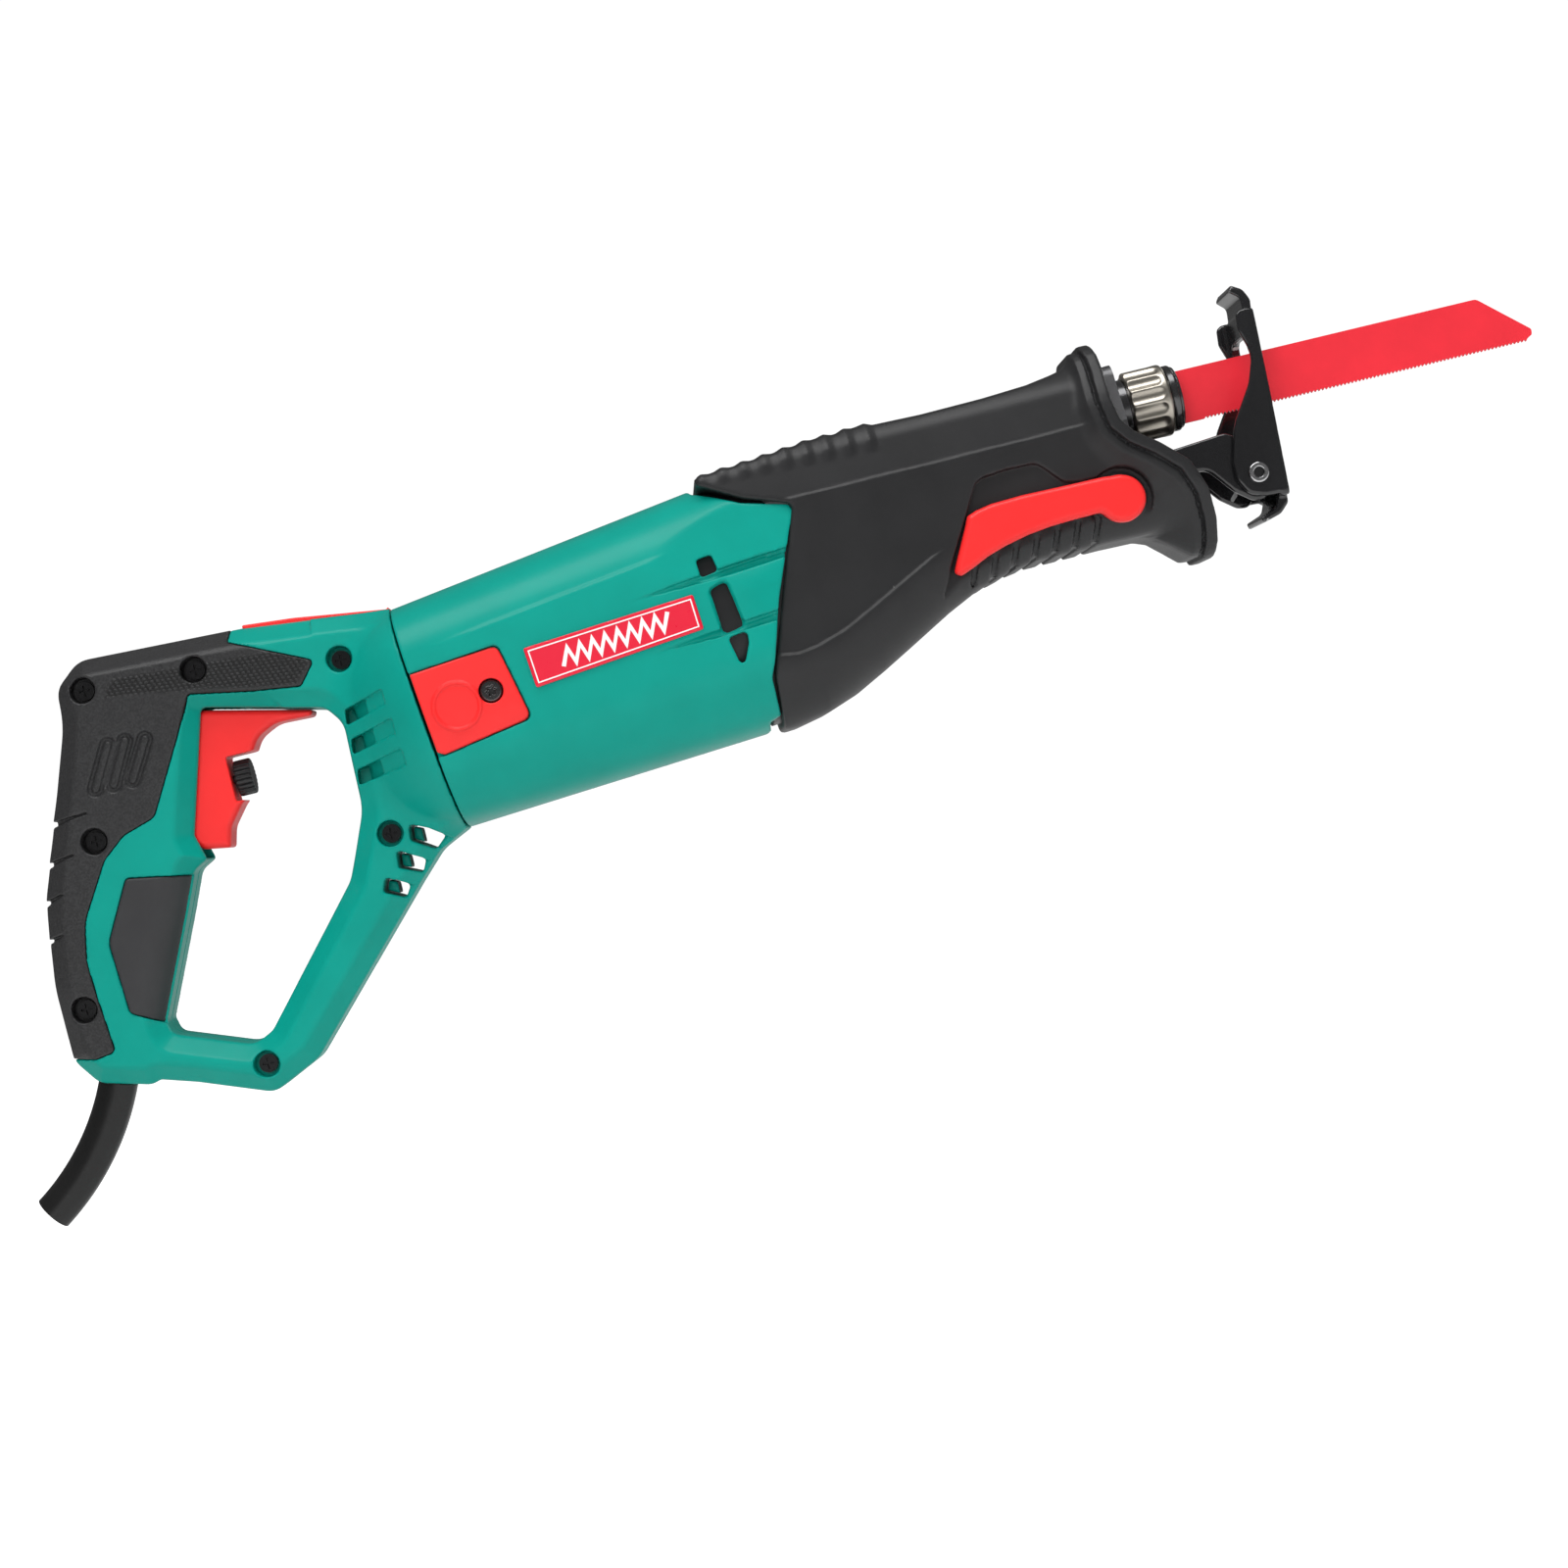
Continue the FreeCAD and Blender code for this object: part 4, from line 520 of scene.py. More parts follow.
def build_handle_half(side, tag):
    low, high = sorted((0, side * 43.4))
    margin = 2 * FINE_STEP
    block, x, y, z = lattice((-447, -284), (low - margin, high + margin), (-168, 1.5),
                             FINE_STEP)
    across = np.abs(y)
    profile = cut(to_outline(HANDLE_OUTER, x, z), to_outline(HANDLE_INNER, x, z))
    half = 0.12 - side * y
    base = common(handle_solid(profile, x, y, z), half)
    cover_area = to_outline(COVER, x, z)
    pad_area = to_outline(FRONT_PAD, x, z)
    opening = common(to_outline(TRIGGER_OPENING, x, z), across - 8.9)

    shell = cut_louvres(base, x, y, z)
    # a fine groove is left round the cover and the pad
    shell = cut(shell, cover_area - 0.25)
    shell = cut(shell, common(pad_area - 0.3, 9.0 - across))
    shell = cut(shell, opening)
    cover = cut(common(base - 0.15, cover_area, half), opening)
    cover = notch_cover(cover, base, x, z)
    radius, floor_y, soft = (4.7, 8.9, 0.5) if side < 0 else (3.0, 15.6, 0.4)
    for centre in SCREW_HOLES:
        hole = common(to_axis(centre, x, z) - radius, floor_y - side * y)
        shell = cut(shell, hole, soft)
        cover = cut(cover, hole, soft)
    # slanted hole in the rear of the foot
    slant_x = x + 424.9 - 0.411 * (-135.9 - z) / 0.912
    shell = cut(shell, common(np.sqrt(slant_x ** 2 * 0.83 + y ** 2) - 7.2, z + 140))
    pad = rounded(profile, across - 17.4, radius=13.0) - 0.1
    pad = common(pad, pad_area, half, 8.9 - across)

    mesh("handle_body_" + tag, block, shell, TEAL, replaced="handle_shell_" + tag)
    mesh("grip_cover_" + tag, block, cover, GRIP, replaced="rear_grip_" + tag,
         mask=dotted_band)
    mesh("grip_pad_" + tag, block, pad, PAD, replaced="front_grip_" + tag)


def build_trim():
    """Strip along the top of the handle."""
    block, x, y, z = lattice((-352, -294), (-9, 9), (-14, 1), step=0.4)
    profile = to_outline([
        (-349.4, -3.6, 1), (-349.6, -1.9, 0.8), (-331, -3.6, 60), (-298.0, -8.4, 0.6),
        (-297.4, -7.4), (-297.0, -9.5, 0.6), (-299.2, -10.6, 0.8), (-330, -6.4, 60)], x, z)
    mesh("trim_strip", block, rounded(profile, np.abs(y) - 7.0, radius=0.5), RED,
         replaced="top_trim")


# ---------------------------------------------------------------- motor housing
REAR_HALF_HEIGHT, FRONT_HALF_HEIGHT = 41.2, 45.6
HOUSING_POWER = 2.9     # superellipse exponent of the housing section
LID_SCREW = (25.4, 0)   # x, z in the motor frame
# Outlines in the motor frame: x, z, corner radius.
HOUSING_FRONT = [
    (110.3, 60), (114.4, 43.0, 2), (129.0, 33.2, 3), (145.0, 27.2, 2), (145.6, 24, 2),
    (142.0, 18.5, 8), (130.4, -3.0, 30), (121.8, -23.0, 8), (118.8, -28.5, 5),
    (118.2, -37, 5), (118.0, -41.5), (113.6, -42.5, 1), (112.8, -60), (190, -60), (190, 60)]
HOUSING_VENTS = [   # outline, width of the lip
    ([(107.6, 18.8, 1), (112.8, 18.9, 1), (113.2, 13.4, 1), (107.4, 12.9, 1)], 0.3),
    ([(109.4, 6.6, 0.8), (113.8, 7.6, 0.8), (114.6, -7.0, 0.8), (109.2, -7.4, 0.8)], 1.6),
    ([(110.0, -11.2, 0.5), (114.8, -11.1, 0.5), (114.2, -14.0, 0.5), (110.9, -19.8, 0.5)],
     1.0)]


def build_motor_shell():
    block, x, y, z = lattice((-2, 149), (-45, 45), (-49, 49), FINE_STEP)
    across = np.abs(y)
    half_height = (REAR_HALF_HEIGHT + (FRONT_HALF_HEIGHT - REAR_HALF_HEIGHT)
                   * np.clip(x / 112.0, 0, 1.15))
    half_width = 40.6 + 2.2 * np.clip(x / 112.0, 0, 1.0) - 3.0 * ease(118, 147, x)
    shell = oval(across, z, half_width, half_height, HOUSING_POWER)
    shell = shell * np.minimum(half_width, half_height) * 0.92
    # flattened cheeks, proud below a shoulder line
    shell = common(shell, across - (half_width - 0.9), soft=2.0)
    shoulder = 21.5 + 0.03 * x
    shell = shell - 0.605 * ease(0.9, -0.9, z - shoulder) * ease(4, 40, x) * (across > 15)
    # front facet, cut back above the shoulder
    facet = (across - 37.8) * 0.8 + (z - (18.0 + (140 - x) * 0.34)) * 0.20
    shell = common(shell, facet, soft=0.4)
    # two grooves along the cheek that deepen forwards, with a wedge below each
    for x0, z0, x1, z1 in ((74, 13.0, 145, 11.8), (74, -6.6, 136, -8.2)):
        line = z0 + (z1 - z0) * (x - x0) / (x1 - x0)
        depth = 1.9 * ease(x0, x0 + 45, x)
        shell = engrave(shell, np.abs(z - line) * 0.9 - depth * 0.55, depth)
        drop = np.clip((line - z) / 9.0, 0, 1)
        shell = shell + (0.9 * (1 - drop) * ((z < line) & (drop < 1))
                         * ease(x0, x0 + 50, x) * (across > 15))
    shell = cut(shell, to_outline(HOUSING_FRONT, x, z), soft=0.7)
    shell = common(shell, 0.35 - x)
    # hollow front end
    shell = cut(shell, common(shell + 3.2, 92 - x))
    # seats of the brush lids
    seat = to_outline([(-4, -14.6), (-4, 14.9), (2.0, 14.9), (32.8, 14.7, 3),
                       (36.0, -13.8, 3), (3.0, -15.9)], x, z)
    shell = cut(shell, common(seat, 37.2 - across))
    for points, lip in HOUSING_VENTS:
        vent = to_outline(points, x, z)
        shell = cut(shell, common(vent, 20 - across))
        shell = engrave(shell, vent - lip, depth=1.0, soft=0.3)
    # wells behind the lid screws
    shell = cut(shell, common(to_axis(LID_SCREW, x, z) - 6.0, 30 - across))
    mesh("motor_shell", block, shell, TEAL, replaced="motor_housing", in_motor=True)


def build_vent_shade():
    """Painted shade: a dark liner behind the vents, so they read dark."""
    block, x, y, z = lattice((84, 120), (-40, 40), (-43, 43), step=1.0)
    liner = oval(y, z, 38.2, 40.6, HOUSING_POWER) * 38
    liner = common(liner, x - 117.3, 86 - x)
    liner = cut(liner, common(liner + 2.0, x - 115.0))
    mesh("vent_shade_liner", block, liner, BLACK, in_motor=True)


def build_seam_shade():
    """Painted shade: a dark band below the surface in the joint between housing and boot, so the
    gap reads dark.
    """
    block, x, y, z = lattice((-186, -146), (-40, 40), (-88, 12), step=0.8)
    seam = to_path([(-181.0, 5.2), (-166.4, -3.4), (-151.8, -9.4), (-161.2, -37.7),
                    (-170.3, -62.7), (-171.3, -84.0)], x, z)
    section = oval(y, to_motor(x, z)[1], 36.4, 43.6, HOUSING_POWER) * 36
    mesh("seam_shade_band", block, cut(common(seam - 2.4, section), section + 4.0, soft=0.3), BLACK)


def build_brush_lid(side, tag):
    block, x, y, z = lattice((-1, 38), sorted((side * 36, side * 44)), (-18, 18), step=0.4)
    across = np.abs(y)
    profile = to_outline([(0.7, -13.9), (0.7, 14.6), (2.4, 14.6), (32.4, 14.3, 3),
                          (35.5, -13.4, 3), (3.0, -15.5)], x, z)
    # crowned face with a raised ring
    face = 41.2 - 1.9 * (np.abs(z) / 15.0) ** 2 * 0.9
    ring = np.abs(to_axis((12.6, -1.2), x, z) - 8.1)
    face = face + 0.8 * (1 - ease(0.3, 0.9, ring))
    lid = common(rounded(profile, across - face, radius=0.7), 37.4 - across)
    hole = common(to_axis(LID_SCREW, x, z) - 4.3, 30 - across)
    mesh("brush_lid_" + tag, block, cut(lid, hole, soft=0.4), RED,
         replaced="brush_cover_" + tag, in_motor=True)


def build_lid_screws():
    """Lid screws with a six-lobe drive; the left one is the right one mirrored."""
    block, x, y, z = lattice((20, 31), (-43, -34), (-5.5, 5.5), step=0.22)
    radius = to_axis(LID_SCREW, x, z)
    angle = np.arctan2(z, x - LID_SCREW[0])
    lobes = radius - (1.55 + 0.35 * np.cos(6 * angle))
    screw = rounded(radius - 3.9, np.abs(y + 37.9) - 2.2, radius=0.7)
    screw = cut(screw, common(lobes, y + 38.2))
    origin, step = block
    mirrored = np.array([origin[0], -y.max(), origin[2]]), step
    for tag, place, field in (("right", block, screw), ("left", mirrored, screw[:, ::-1, :])):
        mesh("lid_screw_" + tag, place, field, DARK_STEEL, replaced="brush_caps",
             in_motor=True)


def build_plate(side, tag):
    block, x, y, z = lattice((39, 105), sorted((side * 40.4, side * 43.9)), (-9, 11),
                             step=0.36)
    across = np.abs(y)
    profile = to_outline([(40.8, 10.0, 0.8), (102.4, 8.0, 0.8), (102.0, -4.6, 0.8),
                          (40.6, -4.4, 0.8)], x, z)
    face = 41.95 + 0.014 * (x - 40)
    film = common(rounded(profile, across - face, radius=0.25), 40.9 - across)
    mesh("plate_film_" + tag, block, film, LABEL, replaced="name_plates", in_motor=True)


def unit(vector):
    return vector / (np.linalg.norm(vector) + 1e-9)


def build_stripe(name, points, width, side, closed=False):
    """Thin raised line on a name plate, through (x, z) points in the motor frame."""
    count = len(points)
    points = [np.array(p, float) for p in points]
    verts, faces = [], []
    for i, point in enumerate(points):
        before = points[i - 1] if i > 0 or closed else point
        after = points[(i + 1) % count] if i < count - 1 or closed else point
        ahead = unit(after - point)
        along = unit(unit(point - before) + ahead)
        normal = np.array([-along[1], along[0]])
        # a mitre widens the line at its corners
        has_next = np.linalg.norm(ahead) > 0.5
        mitre = abs(float(normal @ np.array([-ahead[1], ahead[0]]))) if has_next else 1.0
        half = width / 2 / max(0.45, mitre)
        face = 41.9 + 0.014 * (point[0] - 40)
        for offset, rise in ((half, 0.0), (half, 0.16), (-half, 0.16), (-half, 0.0)):
            x, z = point + normal * offset
            local = np.array([x, side * (face + rise), z])
            verts.append((MOTOR_TURN @ local + MOTOR_ORIGIN) * MM)
    for i in range(count if closed else count - 1):
        a, b = 4 * i, 4 * ((i + 1) % count)
        faces += [(a + j, b + j, b + (j + 1) % 4, a + (j + 1) % 4) for j in range(4)]
    if not closed:
        faces += [(0, 1, 2, 3), tuple(4 * (count - 1) + j for j in (3, 2, 1, 0))]
    if side > 0:
        faces = [face[::-1] for face in faces]
    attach(flat_mesh(name, verts, faces, WHITE), "tool")


def build_plate_marks(side, tag):
    """Keyline and saw-tooth mark."""
    build_stripe("plate_line_" + tag, [(42.2, 8.5), (101.0, 6.6), (100.6, -3.2), (42.0, -3.0)],
                 width=0.45, side=side, closed=True)
    teeth = []
    for i in range(9):
        x = 52.0 + 4.6 * i
        teeth += [(x, -0.6), (x + 3.2, 5.2)]
    build_stripe("plate_teeth_" + tag, teeth, width=1.5, side=side)


# ---------------------------------------------------------------- nose boot
LEVER_PIVOT = (-35.4, -33.7)    # x, z
BOOT_OUTLINE = [    # x, z, corner radius
    (-170.3, -84.9, 2), (-170.0, -66), (-169.0, -62.7, 4), (-160.4, -37.7),
    (-150.2, -9.8, 1.5), (-151.4, -7.9, 1.5), (-166.2, -2.6), (-180.6, 5.6),
    (-181.2, 8.2, 0.8), (-174, 9.3), (-165, 9.8), (-149.0, 11.4), (-136.3, 12.9),
    (-129.5, 12.9), (-120.3, 13.9), (-114.9, 13.2), (-96.9, 13.0), (-74, 13.7), (-57, 14.9),
    (-47.4, 16.6, 10), (-41, 18.2, 10), (-20, 24), (-6, -20), (-6, -56), (-16, -50.6),
    (-26, -47.4), (-40, -47.0), (-55, -47.2), (-68.7, -47.2), (-77.2, -48.6),
    (-90.3, -52.1, 10), (-103.1, -58.0, 10), (-118.0, -66.0, 20), (-130.1, -72.4, 20),
    (-142.0, -78.3, 20), (-153.5, -82.3, 20), (-164.6, -84.6, 10)]
LEVER_RECESS = [    # x, z, corner radius
    (-104.5, -52), (-98.6, -40), (-84.5, -15.9, 3), (-81.7, -14.7, 2), (-73.1, -13.9),
    (-61.9, -14.2, 3), (-59.4, -16.5), (-53.4, -23.2, 3), (-48, -24.2), (-37, -24.0),
    (-26.0, -24.6, 6), (-24.6, -42.0, 6), (-42, -44.5), (-62, -62), (-104, -70)]
RIM_EDGE = [        # x, z down the front edge
    (-31.5, 34), (-30.8, 24.1), (-30.0, 19.3), (-29.9, 13.2), (-30.6, 2.2), (-29.4, -6.3),
    (-25.3, -11.5), (-17.9, -17.0), (-8.9, -25.6), (-4.5, -36.5), (-2.8, -47.6),
    (-3.3, -55.7), (-5.4, -66)]
RIM_SECTION = [     # y, z, corner radius
    (-19.5, 25.0, 15), (19.5, 25.0, 15), (33.0, 0, 34), (34.0, -36, 20), (19, -61.0, 16),
    (-19, -61.0, 16), (-34.0, -36, 20), (-33.0, 0, 34)]
MOUTH_SECTION = [   # y, z, corner radius
    (-18.5, 18.0, 12), (18.5, 18.0, 12), (22.0, -30, 12), (18.5, -50.5, 8),
    (-18.5, -50.5, 8), (-22.0, -30, 12)]


def boot_half_width(x, z):
    widest = np.interp(x, [-185, -150, -122, -97, -66, -42, -24, 10],
                       [38.6, 37.4, 34.8, 31.8, 29.3, 28.0, 28.0, 28.0])
    middle = np.interp(x, [-190, -150, -36, 0], [-9.5, -7.0, -5.0, -5.0])
    # S-shaped crease on the side, and the underside
    crease = np.interp(x, [-190, -169, -160, -153, -142, -131, -119, -107, -97, -40],
                       [-58, -58.7, -60.1, -59.1, -55.7, -50.4, -44.4, -38.4, -34.5, -34.0])
    bottom = np.interp(x, [-171, -153, -130, -103, -90, -77, -55, -20],
                       [-85, -82.3, -72.4, -58.0, -52.1, -48.6, -47.2, -47.0])
    above = np.maximum(0, z - middle)
    width = (widest - 0.30 * above - 0.45 * ease(0.0, 0.7, z - middle)
             - 0.055 * np.maximum(0, above - 12.8) ** 2)
    low = np.clip((crease - z) / np.maximum(crease - bottom + 2.0, 1.0), 0, 1)
    width = width - (widest * 0.78) * (1 - np.sqrt(np.maximum(0, 1 - low ** 2.2)))
    return width + 1.1 * ease(0.6, -0.6, z - crease) * ease(-95, -112, x)


def add_rim(boot, x, y, z):
    """Flared front rim: its section shrinks with the distance from the edge."""
    section = to_outline(RIM_SECTION, y, z)
    from_edge = to_path(RIM_EDGE, x, z)
    behind = to_outline([(*point, 6) for point in RIM_EDGE] + [(-220, -110), (-220, 40)], x, z)
    slope = np.interp(z, [-62, -20, 8, 22], [0.78, 1.0, 1.5, 2.4])
    fall = (slope * np.maximum(0, from_edge - 8.4) + 2.0 * ease(4.2, 5.0, from_edge)
            + 0.1 * np.maximum(0, np.minimum(from_edge, 8.4) - 5.0))
    rim = common(section + fall * 0.94, behind, soft=1.2)
    boot = join(common(boot, behind + 9.0), rim, soft=4.0)
    boot = common(boot, behind, soft=0.8)
    boot = np.where(x > -44, common(boot, section, soft=1.2), boot)
    # line that follows the edge
    return engrave(boot, np.abs(from_edge - 5.0) - 0.45, depth=1.2, soft=0.3)


def open_boot(boot, x, y, z):
    """Mouth, bores, lever recess and hollow."""
    mouth_floor = np.interp(x, [-36, -20, -9, -2], [-43.0, -44.0, -49.0, -52.0])
    mouth = common(to_outline(MOUTH_SECTION, y, z), mouth_floor - z, soft=4.0)
    boot = cut(boot, common(mouth, -(x + 34.5)), soft=1.5)
    boot = cut(boot, common(to_axis((0, 0), y, z) - 12.4, -(x + 60)))
    boot = cut(boot, common(np.abs(y) - 14.5, np.abs(z + 26) - 3.6, -(x + 60)))
    # lever recess in the right-hand side, with a ring groove and a hole at the pivot
    boot = cut(boot, common(to_outline(LEVER_RECESS, x, z), y + 27.2), soft=0.6)
    from_pivot = to_axis(LEVER_PIVOT, x, z)
    boot = cut(boot, common(np.abs(from_pivot - 10.6) - 1.0, y + 26.0), soft=0.4)
    boot = cut(boot, common(from_pivot - 6.2, y - 21.5))
    # hollow behind the rim
    return cut(boot, common(boot + 2.9, x + 34.0))


def build_boot():
    block, x, y, z = lattice((-184, 8), (-41, 41), (-88, 28), 0.62)
    side_gap = (np.abs(y) - boot_half_width(x, z)) * 0.8
    boot = common(to_outline(BOOT_OUTLINE, x, z), side_gap, soft=1.4)
    # finger creases under the lever
    for i in range(7):
        top = -91.5 + 7.5 * i
        crease = to_line((top + 2.0, -38), (top - 1.5, -50), x, z) - 1.0
        boot = engrave(boot, crease, depth=1.5, soft=0.7)
    # grip bumps along the top, one every 7.6
    wave = np.abs(((x + 181.0) / 7.6) % 1.0 - 0.35) * 2
    boot = boot - (0.85 * np.clip(1 - wave * 1.3, 0, 1)
                   * ease(3.0, 8.0, z + 0.02 * (x + 150)) * ((x > -180) & (x < -114)))
    boot = open_boot(add_rim(boot, x, y, z), x, y, z)
    mesh("boot_skin", block, boot, BOOT, replaced="nose_boot")


# ---------------------------------------------------------------- controls
DIAL_AXIS = (0, -54.6)      # y, z
LEVER_INNER = 27.9          # distance of the lever's inner face from y = 0


def build_lever():
    block, x, y, z = lattice((-102, -24), (-36.5, -26.5), (-49, -22), step=0.38)
    arm = to_outline([
        (-40.1, -24.7), (-34.7, -25.4, 4), (-30.8, -27.5, 3), (-27.4, -33.7, 5),
        (-29.7, -38.8, 4), (-34.5, -41.8, 4), (-39.5, -41.0, 3), (-44.0, -36.7, 3),
        (-54.0, -36.9), (-62.4, -37.3), (-70.8, -38.3), (-79.5, -40.2), (-86.6, -42.4),
        (-92.8, -45.2), (-97.3, -46.9, 1.6), (-99.7, -45.4, 1.6), (-97.9, -41.6),
        (-94.8, -35.8), (-91.8, -30.0), (-90.4, -26.9, 1.5), (-86.9, -25.6), (-81.2, -24.6),
        (-70.1, -24.2), (-59.2, -24.4), (-48.3, -24.6)], x, z)
    arm = join(arm, to_axis(LEVER_PIVOT, x, z) - 8.3, soft=1.0)
    outer = 33.9 - 0.025 * np.maximum(0, -(x + 44))
    thickness = np.abs(y + (outer + LEVER_INNER) / 2) - (outer - LEVER_INNER) / 2
    mesh("lever_arm", block, rounded(arm, thickness, radius=2.2), RED, "lever", "lock_lever")


def build_trigger():
    block, x, y, z = lattice((-390, -329), (-9.6, 9.6), (-81, -25), step=0.42)
    profile = to_outline([
        (-388, -29.6, 1), (-371.5, -27.75, 1), (-332.0, -37.1, 1.5), (-333.0, -39.2, 1.5),
        (-346.0, -38.7, 10), (-353.4, -42.2, 9), (-357.2, -48.8, 9), (-360.6, -60.6, 6),
        (-364.6, -64.4, 7), (-369.9, -71.0, 8), (-371.8, -78.2, 1.2), (-381.0, -76.6, 2.5),
        (-388, -72, 1)], x, z)
    blade = rounded(profile, np.abs(y) - 8.1, radius=2.6)
    # pocket and shaft bore of the dial
    pocket = to_outline([(-366.0, -46.4, 0.8), (-350, -46.4), (-350, -62.6),
                         (-366.0, -62.6, 0.8)], x, z)
    blade = cut(blade, pocket, soft=0.5)
    blade = cut(blade, common(to_axis(DIAL_AXIS, y, z) - 1.7, -(x + 371)))
    # blind hole from the rear
    blade = cut(blade, common(to_axis((0, -45.0), y, z) - 3.7, x + 371.2))
    mesh("trigger_blade", block, blade, RED, "trigger_unit", "trigger")


def build_dial():
    """Knurled wheel with 22 teeth on a short shaft."""
    block, x, y, z = lattice((-372, -355), (-8, 8), (-62.6, -46.6), step=0.25)
    radius = to_axis(DIAL_AXIS, y, z)
    angle = np.arctan2(y, z - DIAL_AXIS[1])
    tooth = np.abs(((angle * 22 / (2 * np.pi)) % 1.0) - 0.5) * 2
    wheel = rounded(radius - (6.5 - 0.75 * ease(0.5, 0.9, tooth)), np.abs(x + 361.9) - 3.1,
                    radius=0.7)
    shaft = common(radius - 1.6, np.abs(x + 366.5) - 3.9)
    mesh("dial_wheel", block, join(wheel, shaft), BLACK, "dial", "speed_dial")


# ---------------------------------------------------------------- chuck and shoe
FLUTES = 15
SHOE_PIN = (17.4, -35.0)    # x, z


def build_collar():
    """Fluted ring."""
    block, x, y, z = lattice((-21.5, -3.5), (-14.5, 14.5), (-14.5, 14.5), step=0.26)
    radius = to_axis((0, 0), y, z)
    turn = (np.arctan2(y, z) / (2 * np.pi) * FLUTES) % 1.0 - 0.5
    gap = np.sqrt((turn * 2 * np.pi * 13.6 / FLUTES) ** 2 + np.maximum(0, x + 9.6) ** 2)
    flute = np.sqrt(gap ** 2 * 0.8 + (radius - 15.2) ** 2 * 0.9) - 2.85
    ring = rounded(radius - 13.15, np.abs(x + 12.6) - 7.3, radius=1.1)
    ring = common(cut(ring, flute, soft=0.35), 10.3 - radius)
    mesh("collar_ring", block, ring, NICKEL, "collar", "blade_collar")


def build_shoe():
    block, x, y, z = lattice((7, 33), (-20, 20), (-55, 36), step=0.42)
    across = np.abs(y)
    # side flanges, narrow at the neck
    flange = to_outline([
        (24.9, 23.6, 1), (29.2, 23.1, 1), (28.2, -7.9, 30), (26.5, -44.2, 1.5),
        (18, -43.7, 5), (12.4, -41.8, 5), (9.2, -36, 6), (9.3, -30, 6), (12.6, -17.6, 8),
        (14.2, -14.4, 6), (21.8, -3.0, 14), (25.0, 6, 8), (24.4, 10.5, 5), (22.4, 16.5, 5),
        (23.0, 22.5, 2)], x, z)
    flange = rounded(flange, np.abs(across - 16.45) - 1.25, radius=1.0)
    plate = to_outline([(26.3, 23.2, 0.5), (29.5, 22.6, 0.5), (28.4, -7.9, 30),
                        (26.7, -45.0, 0.5), (23.9, -44.8, 0.5), (25.4, -7.9, 30)], x, z)
    shoe = join(flange, common(plate, across - 17.7, soft=0.9), soft=1.6)
    window = to_outline([(-14.3, 15.0, 5), (14.3, 15.0, 5), (14.3, -15.0, 5),
                         (-14.3, -15.0, 5)], y, z)
    shoe = cut(shoe, common(window, 20 - x), soft=0.5)
    # curled upper and lower ends
    hook = to_outline([(27.0, 22.4), (30.0, 22.4), (30.9, 27.0, 4), (29.3, 31.2, 4),
                       (25.2, 33.8, 0.8), (23.7, 31.4, 0.8), (27.2, 28.4, 3)], x, z)
    hook = rounded(hook, across - (13.5 + 0.25 * np.minimum(0, 24 - z)), radius=1.0)
    foot = to_outline([(23.9, -43.2), (26.8, -43.2), (26.9, -47.5, 3), (23.2, -51.0, 4),
                       (16.2, -52.9, 0.8), (15.6, -50.6, 0.8), (21.8, -48.4, 3)], x, z)
    foot = rounded(foot, across - 13.0, radius=1.0)
    shoe = join(join(shoe, hook, soft=1.0), foot, soft=1.0)
    shoe = cut(shoe, to_axis(SHOE_PIN, x, z) - 2.66)
    mesh("shoe_plate", block, shoe, SHOE, "shoe_unit", "shoe")


def build_bracket():
    """Two arms on a slotted tongue."""
    block, x, y, z = lattice((-82, 25), (-15.6, 15.6), (-49, -16), step=0.5)
    across = np.abs(y)
    arm = to_outline([
        (-13, -19.8, 3), (10, -18.0, 5), (20.8, -26, 8), (22.4, -38, 6), (18.5, -44.8, 5),
        (14.0, -44.2, 5), (8.0, -39.5, 6), (0.5, -30.0, 6), (-13, -28.0, 2)], x, z)
    arms = rounded(arm, np.abs(across - 13.2) - 1.3, radius=1.0)
    tongue = rounded(np.abs(x + 38.5) - 41.5, common(np.abs(z + 26.0) - 2.0, across - 12.2),
                     radius=0.6)
    tongue = cut(tongue, rounded(np.abs(x + 45) - 21.0, across - 3.5, radius=3.0))
    bracket = cut(join(arms, tongue, soft=1.0), to_axis(SHOE_PIN, x, z) - 2.61)
    mesh("bracket_arm", block, bracket, SHOE, "bracket", "shoe_bracket")


def build_chuck():
    """Rear ring and stepped front ring of the chuck sleeve."""
    block, x, y, z = lattice((-27, -19), (-12, 12), (-12, 12), step=0.3)
    radius = to_axis((0, 0), y, z)
    tail = rounded(radius - 10.9, np.abs(x + 23.0) - 2.8, radius=0.4)
    mesh("sleeve_tail", block, common(tail, 8.04 - radius), DARK_STEEL, "plunger_unit")
    block, x, y, z = lattice((-6, 1), (-13.5, 13.5), (-13.5, 13.5), step=0.3)
    radius = to_axis((0, 0), y, z)
    ring = join(rounded(radius - 12.1, np.abs(x + 3.55) - 1.35, radius=0.6),
                rounded(radius - 11.3, np.abs(x + 2.4) - 1.3, radius=0.4))
    mesh("sleeve_ring", block, common(ring, 10.05 - radius), DARK_STEEL, "plunger_unit",
         "front_sleeve")


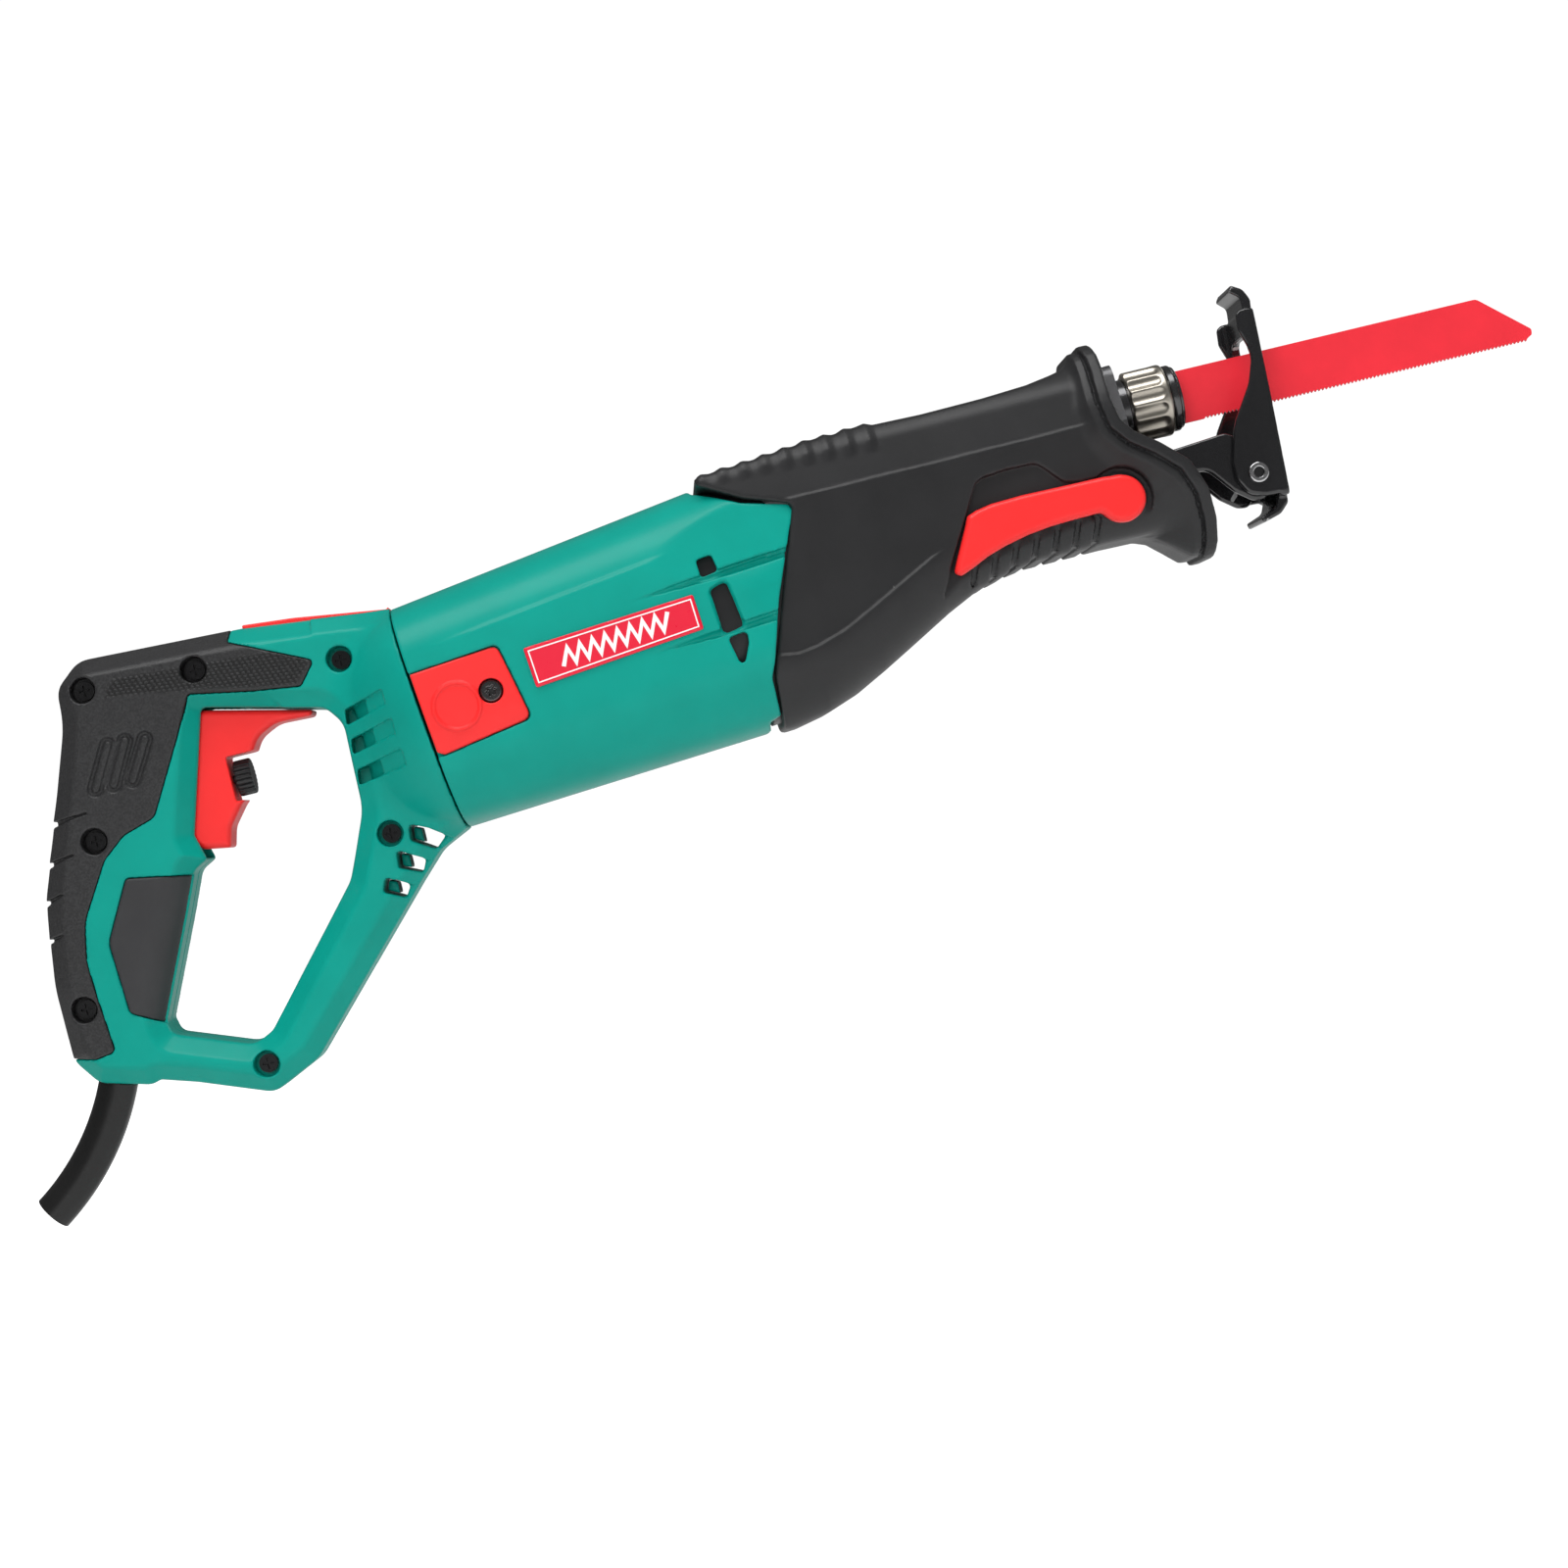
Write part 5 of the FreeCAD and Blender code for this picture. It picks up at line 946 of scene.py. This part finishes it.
def build_rivet():
    """Shoe pin with a head at each end; a black disc in the hole at each end is painted shade.
    """
    block, x, y, z = lattice((13, 22), (-19.5, 19.5), (-39.5, -30.5), step=0.22)
    across = np.abs(y)
    radius = to_axis(SHOE_PIN, x, z)
    rivet = join(rounded(radius - 2.56, across - 18.6, radius=0.3),
                 rounded(radius - 3.7, np.abs(across - 18.35) - 0.55, radius=0.5))
    rivet = cut(rivet, common(radius - 1.95, 16.2 - across))
    mesh("shoe_rivet", block, rivet, STEEL, "bracket", "shoe_pin")
    # painted shade: black disc at the bottom of each end's hole
    hole_shade = rounded(radius - 1.93, np.abs(across - 16.9) - 0.7, radius=0.2)
    mesh("rivet_hole_shade", block, hole_shade, BLACK, "bracket")


# ---------------------------------------------------------------- stage, in metres
# Camera axes; the lights are placed along them too.
UP = Vector((0.2380613, -0.0108484, 0.9711895))
RIGHT = Vector((0.9702177, -0.0434372, -0.2383083))
VIEW = Vector((0.0447710, 0.9989973, 0.0001846))
CENTRE = Vector((-0.17, 0.0, -0.07))
FLOOR_CENTRE = Vector((-0.17, 0.0, -0.30))
scene = bpy.context.scene


def add_camera():
    data = bpy.data.cameras.new("camera")
    camera = bpy.data.objects.new("camera", data)
    scene.collection.objects.link(camera)
    data.sensor_width = 36.0
    data.lens = 62.1
    data.clip_start = 0.05
    data.clip_end = 20.0
    turn = Matrix((RIGHT, UP, -VIEW)).transposed()
    place = Vector((-0.2182112, -0.9798, -0.1033228))
    camera.matrix_world = Matrix.Translation(place) @ turn.to_4x4()
    scene.camera = camera


def add_floor():
    """White floor that glows for camera rays only."""
    paint = bpy.data.materials.new("floor")
    paint.use_nodes = True
    tree = paint.node_tree
    camera_ray = add_node(tree, "LightPath").outputs["Is Camera Ray"]
    for key, value in {
            "Base Color": (0.9, 0.9, 0.9, 1), "Roughness": 0.7,
            "Emission Color": (1, 1, 1, 1),
            "Emission Strength": compute(tree, "MULTIPLY", camera_ray, 0.85)}.items():
        feed(tree, tree.nodes["Principled BSDF"].inputs[key], value)
    corners = [FLOOR_CENTRE + Vector((x, y, 0)) for x, y in ((-6, -6), (6, -6), (6, 6), (-6, 6))]
    flat_mesh("floor", corners, [(0, 1, 2, 3)], paint)


def add_light(name, right, up, nearer, size, power):
    """Area light aimed at the centre; nearer is its offset towards the camera."""
    data = bpy.data.lights.new(name, "AREA")
    data.shape = "RECTANGLE"
    data.size, data.size_y = size
    data.energy = power
    light = bpy.data.objects.new(name, data)
    scene.collection.objects.link(light)
    light.location = place = CENTRE + RIGHT * right + UP * up - VIEW * nearer
    light.rotation_euler = (CENTRE - place).to_track_quat("-Z", "Y").to_euler()
    return light


def add_world():
    """White world, brightest for camera rays and dimmest for glossy ones."""
    world = bpy.data.worlds.new("studio")
    world.use_nodes = True
    tree = world.node_tree
    rays = add_node(tree, "LightPath").outputs
    level = add_node(tree, "MapRange",
                     {"Value": rays["Is Camera Ray"], "To Min": 0.46, "To Max": 1.05})
    strength = add_node(tree, "Math", {0: rays["Is Glossy Ray"], 1: -0.34,
                                       2: level.outputs["Result"]}, operation="MULTIPLY_ADD")
    background = tree.nodes["Background"].inputs
    feed(tree, background["Color"], (1, 1, 1, 1))
    feed(tree, background["Strength"], strength.outputs["Value"])
    scene.world = world


paint_cad()
for side, tag in SIDES:
    build_handle_half(side, tag)
build_trim()
build_motor_shell()
build_vent_shade()
build_seam_shade()
for side, tag in SIDES:
    build_brush_lid(side, tag)
build_lid_screws()
for side, tag in SIDES:
    build_plate(side, tag)
for side, tag in SIDES:
    build_plate_marks(side, tag)
build_boot()
build_lever()
build_trigger()
build_dial()
build_collar()
build_shoe()
build_bracket()
build_chuck()
build_rivet()

add_camera()
add_floor()
add_light("key", right=-0.25, up=1.15, nearer=0.45, size=(1.3, 0.6), power=11.0)
front = add_light("front", right=-0.3, up=0.35, nearer=1.5, size=(1.0, 1.0), power=10.5)
front.visible_glossy = False
add_light("rim", right=0.9, up=0.5, nearer=-0.7, size=(0.6, 0.9), power=4.0)
add_world()
scene.view_settings.view_transform = "Standard"
